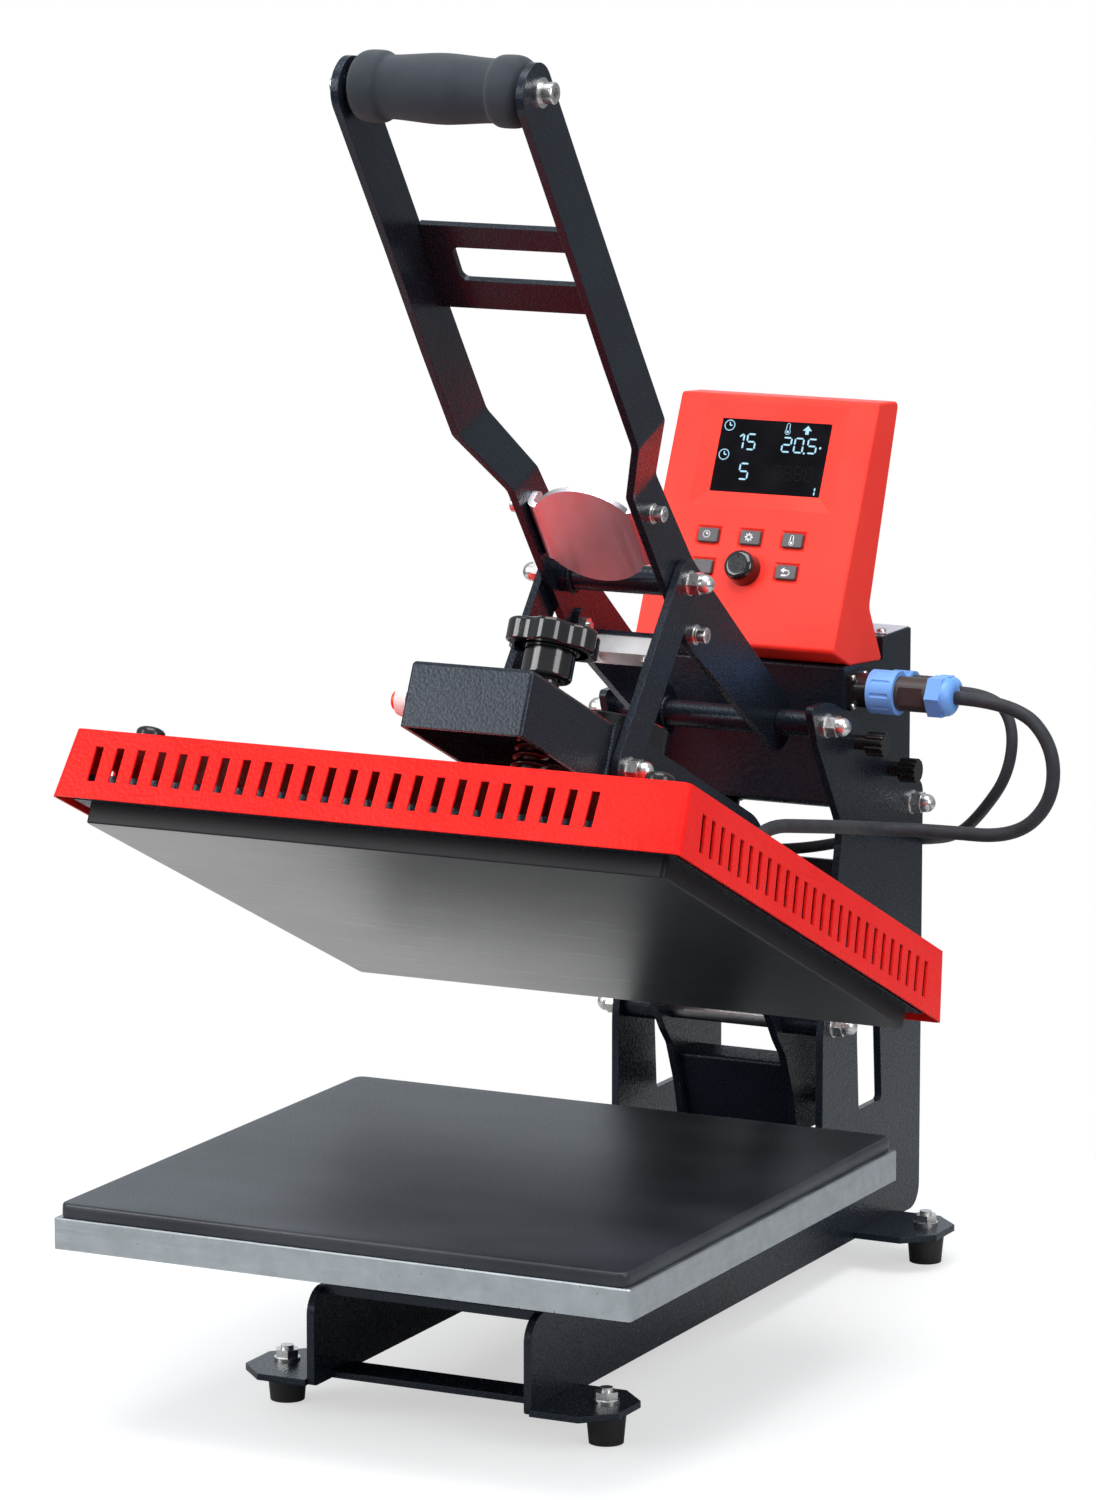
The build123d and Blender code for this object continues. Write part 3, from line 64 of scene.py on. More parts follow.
# %% Camera
CAMERA_PLACE = (1.806384, -3.698221, 1.117135)
TURNED_DOWN = 0.177832
TURNED_LEFT = 0.461252
PRESS_MIDDLE = Vector((0, 0, 0.4))
camera_data = bpy.data.cameras.new("view_from_right_front")
camera_data.lens = 162.096
camera_data.sensor_width = 36.0
camera_data.clip_end = 60.0
camera = bpy.data.objects.new("view_from_right_front", camera_data)
camera.location = CAMERA_PLACE
camera.rotation_euler = (math.pi / 2 - TURNED_DOWN, 0.0, TURNED_LEFT)
bpy.context.scene.collection.objects.link(camera)
bpy.context.scene.camera = camera
print("camera stands", round((camera.location - PRESS_MIDDLE).length, 2), "m away")

# %% [markdown]
# Two rubber cables leave the side of the electronics box and run to the heating head.
# Each is one NURBS curve through a few control points, because a rubber cable bends in
# long easy curves and never in straight runs. The curve is turned into a plain line of
# points first, so that a tube can be built around it.
# The press was drawn in millimetres from the middle of its lower platen, and Y_MID is the
# distance in metres from there to the middle of the whole press.

# %% Route of the two head cables
Y_MID = 0.151


def route_points(name, rows):
    """Points along the smooth NURBS line of a route given in millimetres."""
    curve = bpy.data.curves.new(name + "_route", "CURVE")
    curve.dimensions = "3D"
    curve.resolution_u = 12
    line = curve.splines.new("NURBS")
    line.points.add(len(rows) - 1)
    for point, (x, y, z) in zip(line.points, rows):
        point.co = (x / 1000, y / 1000 - Y_MID, z / 1000, 1.0)
    line.order_u = 3
    line.use_endpoint_u = True
    holder = bpy.data.objects.new(name + "_route", curve)
    bpy.context.scene.collection.objects.link(holder)
    bpy.context.view_layer.update()
    mesh = bpy.data.meshes.new_from_object(holder)
    points = [v.co.copy() for v in mesh.vertices]
    bpy.data.objects.remove(holder)
    bpy.data.meshes.remove(mesh)
    return points


cable_1_rows = [
    (141, 391, 384.02), (183.2, 391, 384.02), (209, 391, 358.2), (209, 391, 321.8),
    (183.2, 391, 296), (128, 391, 296), (88, 376, 297), (84, 322, 307),
    (60, 241.66, 319.55), (60, 221.01, 274.02),
]
cable_2_rows = [
    (130, 424, 381.99), (154, 424, 381.99), (171, 417, 364), (172, 406, 334),
    (150, 416, 306), (116, 458, 281), (72, 516, 264), (24, 506, 262), (8, 446, 264),
    (8, 340, 282), (8, 242.49, 321.38), (8, 221.01, 274.02),
]
cable_1_line = route_points("cable_1", cable_1_rows)
cable_2_line = route_points("cable_2", cable_2_rows)


def length_of(points):
    """Length along a line of points."""
    return sum((b - a).length for a, b in zip(points, points[1:]))


print("cable lines:", round(length_of(cable_1_line), 3), round(length_of(cable_2_line), 3), "m")

# %% [markdown]
# A tube around a line needs a ring of points at every step, and the rings must not twist
# against each other. Each ring keeps the last ring's side direction, pressed square to
# the new heading. This is the usual parallel transport frame.

# %% Tubes along a line
def tube_mesh(name, points, radii, sides=20):
    """Round tube along points, with a radius for each, closed at both ends."""
    bm = bmesh.new()
    side = None
    rings = []
    for i, here in enumerate(points):
        before = points[max(0, i - 1)]
        after = points[min(len(points) - 1, i + 1)]
        heading = (after - before).normalized()
        if side is None:
            side = heading.orthogonal().normalized()
        side = (side - heading * side.dot(heading)).normalized()
        other = heading.cross(side)
        ring = []
        for k in range(sides):
            a = 2 * math.pi * k / sides
            offset = side * math.cos(a) + other * math.sin(a)
            ring.append(bm.verts.new(here + offset * radii[i]))
        rings.append(ring)
    for ring, following in zip(rings, rings[1:]):
        for k in range(sides):
            bm.faces.new((ring[k], ring[(k + 1) % sides],
                          following[(k + 1) % sides], following[k]))
    bm.faces.new(list(reversed(rings[0])))
    bm.faces.new(rings[-1])
    for face in bm.faces:
        face.smooth = len(face.verts) == 4
    mesh = bpy.data.meshes.new(name)
    bm.to_mesh(mesh)
    bm.free()
    return mesh


def piece(name, mesh, material, body=None):
    """Put a mesh in the scene, dress it and let it ride on a body."""
    made = bpy.data.objects.new(name, mesh)
    bpy.context.scene.collection.objects.link(made)
    mesh.materials.append(material)
    if body is not None:
        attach(made, body)
    return made


print("made the tools for tubes and pieces")

# %% [markdown]
# Every finish here is a Principled shader with a few noise textures, and no pictures. The
# helpers below save writing the same nodes again for each finish. They read the object's
# own coordinates, which are in metres, because every solid sits at the origin. So a grain
# has the same size on each plate, and rides along when the plate moves.

# %% Small helpers for node materials
def new_finish(name):
    """Empty material with a Principled shader and object coordinates."""
    material = bpy.data.materials.new(name)
    material.use_nodes = True
    tree = material.node_tree
    shader = tree.nodes["Principled BSDF"]
    place = tree.nodes.new("ShaderNodeTexCoord")
    return material, tree, shader, place.outputs["Object"]


def noise(tree, vector, scale, detail=3.0, roughness=0.5, stretch=None):
    """Noise factor at so many features per metre, stretched along axes if asked."""
    if stretch is not None:
        mapping = tree.nodes.new("ShaderNodeMapping")
        mapping.inputs["Scale"].default_value = stretch
        tree.links.new(vector, mapping.inputs["Vector"])
        vector = mapping.outputs["Vector"]
    node = tree.nodes.new("ShaderNodeTexNoise")
    node.inputs["Scale"].default_value = scale
    node.inputs["Detail"].default_value = detail
    node.inputs["Roughness"].default_value = roughness
    tree.links.new(vector, node.inputs["Vector"])
    return node.outputs["Fac"]


def ramp(tree, factor, stops):
    """Colour ramp from (position, colour) stops."""
    node = tree.nodes.new("ShaderNodeValToRGB")
    band = node.color_ramp
    band.elements[0].position, first = stops[0][0], stops[0][1]
    band.elements[0].color = (*first, 1.0)
    band.elements[1].position, last = stops[-1][0], stops[-1][1]
    band.elements[1].color = (*last, 1.0)
    for position, colour in stops[1:-1]:
        stop = band.elements.new(position)
        stop.color = (*colour, 1.0)
    tree.links.new(factor, node.inputs["Fac"])
    return node.outputs["Color"]


def spread(tree, factor, low, high, from_low=0.3, from_high=0.7):
    """Map a factor to a range of values."""
    node = tree.nodes.new("ShaderNodeMapRange")
    node.inputs["From Min"].default_value = from_low
    node.inputs["From Max"].default_value = from_high
    node.inputs["To Min"].default_value = low
    node.inputs["To Max"].default_value = high
    tree.links.new(factor, node.inputs["Value"])
    return node.outputs["Result"]


def soft_edges(tree, radius):
    """Normal that rounds sharp edges by a small radius, so that they catch the light."""
    node = tree.nodes.new("ShaderNodeBevel")
    node.samples = 4
    node.inputs["Radius"].default_value = radius
    return node.outputs["Normal"]


def raised(tree, shader, height, distance, strength, under=None):
    """Bump from a height factor, over an earlier normal if given."""
    node = tree.nodes.new("ShaderNodeBump")
    node.inputs["Strength"].default_value = strength
    node.inputs["Distance"].default_value = distance
    tree.links.new(height, node.inputs["Height"])
    if under is not None:
        tree.links.new(under, node.inputs["Normal"])
    tree.links.new(node.outputs["Normal"], shader.inputs["Normal"])


print("made the helpers for finishes")

# %% [markdown]
# Most of the machine is sheet steel under a black powder coat. The coat is a little blue
# and has a fine hammered skin. Tiny pale specks are painted into its colour: painted glints
# of light on that skin. A real sheet has no razor edge under its paint, so the shader also
# rounds each edge by less than a millimetre, and the edges catch the light.

# %% Black powder coat
EDGE_ROUND = 0.0008


def powder_coat(name, dark, light, grain, grain_depth, rough_low, rough_high, glint_speck=None,
                shine=0.5, tint=(1.0, 1.0, 1.0)):
    """Coat with a cloudy tone, an orange-peel skin and, if asked, pale specks painted as glints.
    """
    material, tree, shader, place = new_finish(name)
    cloud = noise(tree, place, 14, 4)
    colour = ramp(tree, cloud, [(0.35, dark), (0.65, light)])
    if glint_speck is not None:
        # Pale specks in the colour: painted glints of light on the hammered skin.
        dust_and_glints = noise(tree, place, 420, 2, 0.6)
        mix = tree.nodes.new("ShaderNodeMix")
        mix.data_type = "RGBA"
        tree.links.new(spread(tree, dust_and_glints, 0.0, 1.0, 0.745, 0.79), mix.inputs["Factor"])
        tree.links.new(colour, mix.inputs["A"])
        mix.inputs["B"].default_value = (*glint_speck, 1.0)
        colour = mix.outputs["Result"]
    tree.links.new(colour, shader.inputs["Base Color"])
    skin = noise(tree, place, grain, 2.5, 0.45)
    tree.links.new(spread(tree, skin, rough_low, rough_high), shader.inputs["Roughness"])
    raised(tree, shader, skin, grain_depth, 0.7, soft_edges(tree, EDGE_ROUND))
    shader.inputs["Specular IOR Level"].default_value = shine
    shader.inputs["Specular Tint"].default_value = (*tint, 1.0)
    return material


black_powder = powder_coat("black_powder", (0.0062, 0.0088, 0.0145), (0.0095, 0.0130, 0.0205),
                           560, 0.00030, 0.22, 0.34, glint_speck=(0.12, 0.13, 0.15),
                           shine=0.38, tint=(0.78, 0.88, 1.0))
print("made", black_powder.name)

# %% [markdown]
# The slotted cover over the heater has a red powder coat with a coarser orange-peel skin.
# The controller is moulded in red plastic of nearly the same hue, but smooth and satin,
# with a faint spark grain from the mould.

# %% Red powder coat and red plastic
red_powder = powder_coat("red_powder", (0.92, 0.012, 0.010), (0.98, 0.020, 0.016),
                         430, 0.0006, 0.26, 0.38, shine=0.20, tint=(1.0, 0.5, 0.45))


def satin_plastic(name, dark, light, rough, grain=900, depth=0.00008, coat=0.0, shine=0.5):
    """Moulded plastic with a faint cloud and the fine grain of the mould."""
    material, tree, shader, place = new_finish(name)
    cloud = noise(tree, place, 22, 3)
    tree.links.new(ramp(tree, cloud, [(0.3, dark), (0.7, light)]), shader.inputs["Base Color"])
    skin = noise(tree, place, grain, 2, 0.5)
    tree.links.new(spread(tree, skin, rough - 0.04, rough + 0.05), shader.inputs["Roughness"])
    raised(tree, shader, skin, depth, 0.4)
    shader.inputs["Coat Weight"].default_value = coat
    shader.inputs["Specular IOR Level"].default_value = shine
    return material


red_plastic = satin_plastic("red_plastic", (0.96, 0.036, 0.022), (0.99, 0.048, 0.030), 0.38,
                            shine=0.22)
black_plastic = satin_plastic("black_plastic", (0.006, 0.006, 0.007), (0.011, 0.011, 0.012),
                              0.2, 500, 0.00005)
knob_plastic = satin_plastic("knob_plastic", (0.004, 0.004, 0.005), (0.006, 0.006, 0.007),
                             0.14, 500, 0.00002, coat=0.6)
key_plastic = satin_plastic("key_plastic", (0.070, 0.068, 0.074), (0.095, 0.092, 0.100), 0.42)
blue_plastic = satin_plastic("blue_plastic", (0.13, 0.34, 0.80), (0.17, 0.39, 0.86), 0.38)
white_print = satin_plastic("white_print", (0.80, 0.80, 0.82), (0.86, 0.86, 0.88), 0.5)
dark_plastic = satin_plastic("dark_plastic", (0.032, 0.024, 0.024), (0.045, 0.034, 0.034), 0.4)
red_button = satin_plastic("red_button", (0.80, 0.04, 0.015), (0.88, 0.06, 0.02), 0.3)
white_plastic = satin_plastic("white_plastic", (0.70, 0.69, 0.67), (0.78, 0.77, 0.75), 0.35)
black_rubber = satin_plastic("black_rubber", (0.008, 0.008, 0.009), (0.014, 0.014, 0.015),
                             0.48, 700, 0.0001)
print("made", red_powder.name, "and ten plastics")

# %% [markdown]
# The heating platen is aluminium that was ground flat in one direction, so its highlights
# are drawn out across the grain, with a few swirls where it was wiped. The lower platen
# shows raw cast edges, mottled and pitted. The small fasteners are stainless steel, and
# the round plate under the handle is zinc plated.

# %% Bare metals
def metal_finish(name, colour, rough_low, rough_high, streak=None, mottle=30, depth=0.0,
                 pits=None):
    """Metal with cloudy tone, streaks along one axis and small pits."""
    material, tree, shader, place = new_finish(name)
    shader.inputs["Metallic"].default_value = 1.0
    cloud = noise(tree, place, mottle, 5, 0.6)
    darker = tuple(0.82 * c for c in colour)
    tone = ramp(tree, cloud, [(0.3, darker), (0.7, colour)])
    if pits is not None:
        spots = noise(tree, place, pits, 2, 0.6, (1.0, 1.0, 0.5))
        mix = tree.nodes.new("ShaderNodeMix")
        mix.data_type = "RGBA"
        tree.links.new(spread(tree, spots, 0.0, 1.0, 0.70, 0.78), mix.inputs["Factor"])
        tree.links.new(tone, mix.inputs["A"])
        mix.inputs["B"].default_value = (0.10, 0.11, 0.12, 1.0)
        tone = mix.outputs["Result"]
    tree.links.new(tone, shader.inputs["Base Color"])
    if streak is not None:
        lines = noise(tree, place, 1.0, 4, 0.6, streak)
    else:
        lines = noise(tree, place, 350, 3, 0.6)
    tree.links.new(spread(tree, lines, rough_low, rough_high), shader.inputs["Roughness"])
    if depth:
        raised(tree, shader, lines, depth, 0.5)
    return material


ground_aluminium = metal_finish("ground_aluminium", (0.42, 0.415, 0.40), 0.27, 0.33,
                                (14.0, 420.0, 420.0), 7)
cast_aluminium = metal_finish("cast_aluminium", (0.49, 0.53, 0.555), 0.34, 0.56,
                              (22.0, 22.0, 950.0), 90, 0.00012, pits=420)
bright_block = metal_finish("bright_block", (0.86, 0.85, 0.85), 0.42, 0.50, None, 60)
stainless = metal_finish("stainless", (0.80, 0.79, 0.78), 0.24, 0.36, None, 90, 0.00002)
zinc = metal_finish("zinc", (0.95, 0.91, 0.97), 0.44, 0.54, (160.0, 12.0, 12.0), 14)
steel = metal_finish("steel", (0.36, 0.36, 0.37), 0.26, 0.40, None, 60, 0.00003)
print("made six metals")

# %% [markdown]
# The heating platen is bare only on its working face. Its sides carry the same black coat
# as the tray around it. The two are told apart by the direction that the surface faces.

# %% Heating platen, bare below and black at the sides
def coated_sides(name, bare, coat, facing, limit=0.9):
    """Bare metal where the surface faces one way, and the coat elsewhere."""
    material = bare.copy()
    material.name = name
    tree = material.node_tree
    metal = tree.nodes["Principled BSDF"]
    paint = tree.nodes.new("ShaderNodeBsdfPrincipled")
    paint.inputs["Base Color"].default_value = (*coat, 1.0)
    paint.inputs["Roughness"].default_value = 0.42
    paint.inputs["Specular IOR Level"].default_value = 0.25
    where = tree.nodes.new("ShaderNodeTexCoord")
    lean = tree.nodes.new("ShaderNodeVectorMath")
    lean.operation = "DOT_PRODUCT"
    lean.inputs[1].default_value = facing
    tree.links.new(where.outputs["Normal"], lean.inputs[0])
    over = tree.nodes.new("ShaderNodeMath")
    over.operation = "GREATER_THAN"
    over.inputs[1].default_value = limit
    tree.links.new(lean.outputs["Value"], over.inputs[0])
    mix = tree.nodes.new("ShaderNodeMixShader")
    tree.links.new(over.outputs[0], mix.inputs["Fac"])
    tree.links.new(paint.outputs["BSDF"], mix.inputs[1])
    tree.links.new(metal.outputs["BSDF"], mix.inputs[2])
    tree.links.new(mix.outputs["Shader"], tree.nodes["Material Output"].inputs["Surface"])
    return material


HEAD_TILT = math.radians(24.4)
platen_down = (0.0, -math.sin(HEAD_TILT), -math.cos(HEAD_TILT))
platen_metal = coated_sides("platen_metal", ground_aluminium, (0.010, 0.011, 0.014), platen_down)
print("made", platen_metal.name)

# %% [markdown]
# The foam pad and the grip sleeve are closed-cell foam. It scatters light softly, so it
# gets high roughness and some sheen, a fine pore bump, and the cloudy pale marks that
# hands and fabric leave on it.

# %% Foams and cable rubber
def foam_finish(name, dark, light, pore, depth, smudge, rough=0.86, shine=0.3, sheen=0.25):
    """Soft matt surface with pores and cloudy marks."""
    material, tree, shader, place = new_finish(name)
    cloud = noise(tree, place, smudge, 5, 0.55, (1.0, 2.2, 1.0))
    tree.links.new(ramp(tree, cloud, [(0.34, dark), (0.68, light)]),
                   shader.inputs["Base Color"])
    cells = noise(tree, place, pore, 3, 0.65)
    tree.links.new(spread(tree, cells, rough - 0.07, rough + 0.07), shader.inputs["Roughness"])
    raised(tree, shader, cells, depth, 0.7)
    shader.inputs["Specular IOR Level"].default_value = shine
    shader.inputs["Sheen Weight"].default_value = sheen
    shader.inputs["Sheen Roughness"].default_value = 0.5
    return material


pad_foam = foam_finish("pad_foam", (0.014, 0.0165, 0.022), (0.033, 0.037, 0.046),
                       700, 0.00010, 9, rough=0.37, shine=0.45, sheen=0.0)
sleeve_foam = foam_finish("sleeve_foam", (0.020, 0.025, 0.034), (0.030, 0.036, 0.047),
                          1200, 0.00025, 40, sheen=0.15)
cable_jacket = foam_finish("cable_jacket", (0.020, 0.023, 0.029), (0.032, 0.036, 0.043),
                           650, 0.00015, 90, rough=0.62, sheen=0.1)
insulation = foam_finish("insulation", (0.55, 0.53, 0.48), (0.7, 0.68, 0.62), 500, 0.0006, 30)
print("made", pad_foam.name, sleeve_foam.name, cable_jacket.name, "and one more")

# %% [markdown]
# The display is a black glass window. Its back light is off except for the segments,
# which are separate thin pieces below, so the window itself is only a dark gloss.

# %% Display glass and lit segments
display_glass, tree, shader, place = new_finish("display_glass")
dust_and_glints = noise(tree, place, 60, 4)
tree.links.new(ramp(tree, dust_and_glints, [(0.3, (0.003, 0.003, 0.004)), (0.7, (0.006, 0.006, 0.008))]),
               shader.inputs["Base Color"])
tree.links.new(spread(tree, dust_and_glints, 0.05, 0.12), shader.inputs["Roughness"])
shader.inputs["Specular IOR Level"].default_value = 0.07

lit_segment, tree, shader, place = new_finish("lit_segment")
glow = noise(tree, place, 300, 2)
tree.links.new(ramp(tree, glow, [(0.2, (0.36, 0.72, 0.93)), (0.8, (0.45, 0.80, 1.0))]),
               shader.inputs["Emission Color"])
shader.inputs["Base Color"].default_value = (0.02, 0.03, 0.04, 1.0)
shader.inputs["Emission Strength"].default_value = 1.0
unlit_segment = satin_plastic("unlit_segment", (0.0045, 0.005, 0.007), (0.006, 0.007, 0.009),
                              0.12, shine=0.12)
print("made the display's three finishes")

# %% [markdown]
# Each solid now gets the finish of its real material. Fastener groups, plates and castings
# keep the shapes they have, so this is a plain list from finish to nodes. The gas springs,
# the magnet's case and the spring are black too, and share the glossy black finish.

# %% Dress the solids
by_finish = {
    black_powder: [
        "side_plate_left", "side_plate_right", "deck_plate", "platen_carrier",
        "rear_cross_panel", "front_foot_strip", "rear_foot_strip", "electronics_box",
        "shaft_spacers", "handle_arm_left", "handle_arm_right", "handle_cross_tubes",
        "ladder_brace", "buffer_bar", "pull_links", "head_arm_left", "head_arm_right",
        "head_channel", "arm_cross_panels", "heater_tray",
    ],
    red_powder: ["heater_cover"],
    red_plastic: ["controller_housing"],
    key_plastic: ["timer_key", "settings_key", "temperature_key", "lower_left_key",
                  "return_key"],
    knob_plastic: ["rotary_knob", "hand_wheel"],
    black_plastic: ["thumb_screws", "power_inlet", "cable_sockets", "head_cable_glands",
                    "gas_spring_cylinders", "electromagnet", "pressure_spring"],
    blue_plastic: ["plug_rings_and_nuts"],
    dark_plastic: ["plug_bodies"],
    black_rubber: ["rubber_feet"],
    red_button: ["release_button"],
    white_plastic: ["release_button_collar"],
    cast_aluminium: ["lower_platen"],
    platen_metal: ["heating_platen"],
    bright_block: ["buffer_block"],
    stainless: ["frame_cap_nuts", "foot_studs_and_nuts", "grip_tube_and_bolts",
                "link_top_stud_and_nuts", "link_foot_studs", "handle_small_bolts"],
    zinc: ["armature_plate"],
    steel: ["cross_shafts", "pressure_spindle", "gas_spring_rods"],
    display_glass: ["display_window"],
    insulation: ["insulation_slab"],
}
dressed = set()
for material, names in by_finish.items():
    for name in names:
        mesh = nodes[name].data
        mesh.materials.clear()
        mesh.materials.append(material)
        dressed.add(name)
print("dressed", len(dressed), "solids; to be replaced:", sorted(set(nodes) - dressed))

# %% [markdown]
# The two cables are tubes around their NURBS lines. Their last stretch enters the glands
# on the head.

# %% Build the cables
def cable_piece(name, points, radius, node):
    """Rubber cable that takes the place of its solid."""
    made = piece(name, tube_mesh(name, points, [radius] * len(points)), cable_jacket)
    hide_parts(node)
    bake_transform(made)


cable_piece("cable_1", cable_1_line, 0.0045, "head_cable_1")
cable_piece("cable_2", cable_2_line, 0.00375, "head_cable_2")
print("cables made of", len(cable_1_line), "and", len(cable_2_line), "rings")

# %% [markdown]
# The pad is a sheet of silicone foam, 9 mm thick, cut from a larger sheet. Its skin is
# smooth and reflects at a low angle. The top edge rolls over by about two millimetres, so
# the rings of points lie closer near the rim, where that roll needs them. One finish
# covers the whole sheet.

# %% Foam pad
PAD_CORNER = 0.0065
PAD_CORNER_LEAST = 0.003
PAD_GAP = 0.0001


def rounded_outline(half_x, half_y, radius, steps=6):
    """Rectangle around the origin with round corners."""
    points = []
    for cx, cy, start in ((1, 1, 0), (-1, 1, 90), (-1, -1, 180), (1, -1, 270)):
        for k in range(steps + 1):
            a = math.radians(start + 90 * k / steps)
            points.append((cx * (half_x - radius) + radius * math.cos(a),
                           cy * (half_y - radius) + radius * math.sin(a)))
    return points


pad_low, pad_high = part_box("foam_pad")
pad_half_x = (pad_high.x - pad_low.x) / 2
pad_half_y = (pad_high.y - pad_low.y) / 2
pad_middle = (pad_low + pad_high) / 2
pad_t = pad_high.z - pad_low.z
bm = bmesh.new()
profile = [(0.0005, 0.0), (0.0, 0.14), (0.0, 0.50), (0.0002, 0.82), (0.0006, 0.94),
           (0.0014, 0.99), (0.0026, 1.0), (0.012, 0.998), (0.05, 0.994)]
rings = []
for inset, share in profile:
    outline = rounded_outline(pad_half_x - inset, pad_half_y - inset,
                              max(PAD_CORNER - inset * 0.5, PAD_CORNER_LEAST))
    z = pad_low.z + PAD_GAP + share * (pad_t - PAD_GAP)
    rings.append([bm.verts.new((pad_middle.x + x, pad_middle.y + y, z)) for x, y in outline])
count = len(rings[0])
for ring, following in zip(rings, rings[1:]):
    for k in range(count):
        face = bm.faces.new((ring[k], ring[(k + 1) % count], following[(k + 1) % count],
                             following[k]))
        face.smooth = True
bm.faces.new(rings[-1])
bm.faces.new(list(reversed(rings[0])))
pad_mesh = bpy.data.meshes.new("pad")
bm.to_mesh(pad_mesh)
bm.free()
pad = piece("pad", pad_mesh, pad_foam, "frame")
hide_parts("foam_pad")
print("pad", round(2000 * pad_half_x), "x", round(2000 * pad_half_y), "mm")

# %% [markdown]
# The grip is a sleeve of foam turned with two collars. Its profile is drawn once and
# spun around the handle's cross bar. The foam is squeezed a little where the collars
# meet the waist, which is what gives the soft shadow line there.

# %% Grip sleeve
grip_low, grip_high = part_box("grip_foam")
grip_middle = (grip_low + grip_high) / 2
half = (grip_high.x - grip_low.x) / 2
outer = (grip_high.z - grip_low.z) / 2
shape = [(0.0, 0.42), (0.0, 0.66), (0.0006, 0.76), (0.002, 0.86), (0.0042, 0.945),
         (0.0075, 0.992), (0.011, 1.0), (0.0155, 0.998), (0.0182, 0.985), (0.0198, 0.95),
         (0.0208, 0.905), (0.0222, 0.882), (0.0245, 0.878), (0.030, 0.892), (0.038, 0.922),
         (0.047, 0.958), (half, 0.98)]
profile = shape + [(2 * half - x, r) for x, r in reversed(shape[:-1])]
bm = bmesh.new()
sides = 56
rings = []
for along, share in profile:
    ring = []
    for k in range(sides):
        a = 2 * math.pi * k / sides
        ring.append(bm.verts.new((grip_low.x + along,
                                  grip_middle.y + share * outer * math.cos(a),
                                  grip_middle.z + share * outer * math.sin(a))))
    rings.append(ring)
rings.append(rings[0])
for ring, following in zip(rings, rings[1:]):
    for k in range(sides):
        face = bm.faces.new((ring[k], following[k], following[(k + 1) % sides],
                             ring[(k + 1) % sides]))
        face.smooth = True
bmesh.ops.recalc_face_normals(bm, faces=bm.faces[:])
grip_mesh = bpy.data.meshes.new("grip_sleeve")
bm.to_mesh(grip_mesh)
bm.free()
grip = piece("grip_sleeve", grip_mesh, sleeve_foam, "handle")
rounding = grip.modifiers.new("rounding", "SUBSURF")
rounding.levels = 1
rounding.render_levels = 2
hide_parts("grip_foam")
print("grip sleeve", round(2000 * half), "mm long")

# %% [markdown]
# The plates and tubes of such a frame are joined by arc welds. A fillet weld is a chain of
# small overlapping ripples, so each bead here is a tube whose radius swells and shrinks
# along its line. The paint lies over it and catches a row of small lights.

# %% Weld beads
HEAD_AXIS = (348.0, 171.5)
LINK_TUBE = (185.5, 480.5)
HUB_TUBE = (334.2, 369.7)
ARM_IN = 38.0


def opened(x, y, z):
    """Place on the head, drawn shut in millimetres, turned to the open pose in metres."""
    a = -HEAD_TILT
    dy, dz = y - HEAD_AXIS[0], z - HEAD_AXIS[1]
    return Vector((x / 1000,
                   (HEAD_AXIS[0] + dy * math.cos(a) - dz * math.sin(a)) / 1000 - Y_MID,
                   (HEAD_AXIS[1] + dy * math.sin(a) + dz * math.cos(a)) / 1000))


def bead(name, points, radius, body):
    """Weld bead along close points, its radius rippling."""
    radii = [radius * (0.78 + 0.26 * abs(math.sin(1.05 * k)) + 0.08 * math.sin(0.37 * k))
             for k in range(len(points))]
    return piece(name, tube_mesh(name, points, radii, 9), black_powder, body)


def ring_points(x, centre, radius, steps=72):
    """Circle across the machine, from sizes in millimetres."""
    cy, cz = centre
    turn = [2 * math.pi * k / steps for k in range(steps + 1)]
    return [Vector((x / 1000, (cy + radius * math.cos(a)) / 1000 - Y_MID,
                    (cz + radius * math.sin(a)) / 1000)) for a in turn]


welds = 0
for label, centre, radius in (("link_tube", LINK_TUBE, 9.9), ("hub_tube", HUB_TUBE, 9.4)):
    for side in (-1, 1):
        x = side * (ARM_IN - (7.6 if (label, side) == ("link_tube", -1) else 1.2))
        bead(f"weld_{label}_{welds}", ring_points(x, centre, radius), 0.0019, "handle")
        welds += 1
for side in (-1, 1):
    line = [opened(side * 41.3, 20.6, 243 + 0.75 * k) for k in range(48)]
    bead(f"weld_channel_{welds}", line, 0.0017, "head_arm")
    welds += 1
print("welds:", welds)

# %% [markdown]
# A few small fittings sit on the sheet metal: two domed plugs close the holes at the front
# edge of the cover, pan-head screws hold the cable sockets, and two screws sit on the top
# of the electronics box. A thin pale zinc plate under those screws is a painted highlight:
# its pale colour stands for the strong top light on the black box top.

# %% Plugs of the cover
def turned_knob(name, foot, up, profile, material, body, sides=28):
    """Body turned around an axis from (radius, height) pairs in millimetres."""
    up = up.normalized()
    across = up.orthogonal().normalized()
    other = up.cross(across)
    bm = bmesh.new()
    rings = []
    for radius, height in profile:
        ring = []
        for k in range(sides):
            a = 2 * math.pi * k / sides
            spoke = across * math.cos(a) + other * math.sin(a)
            ring.append(bm.verts.new(foot + spoke * radius / 1000 + up * height / 1000))
        rings.append(ring)
    for ring, following in zip(rings, rings[1:]):
        for k in range(sides):
            face = bm.faces.new((ring[k], ring[(k + 1) % sides], following[(k + 1) % sides],
                                 following[k]))
            face.smooth = True
    bm.faces.new(rings[-1])
    mesh = bpy.data.meshes.new(name)
    bm.to_mesh(mesh)
    bm.free()
    return piece(name, mesh, material, body)


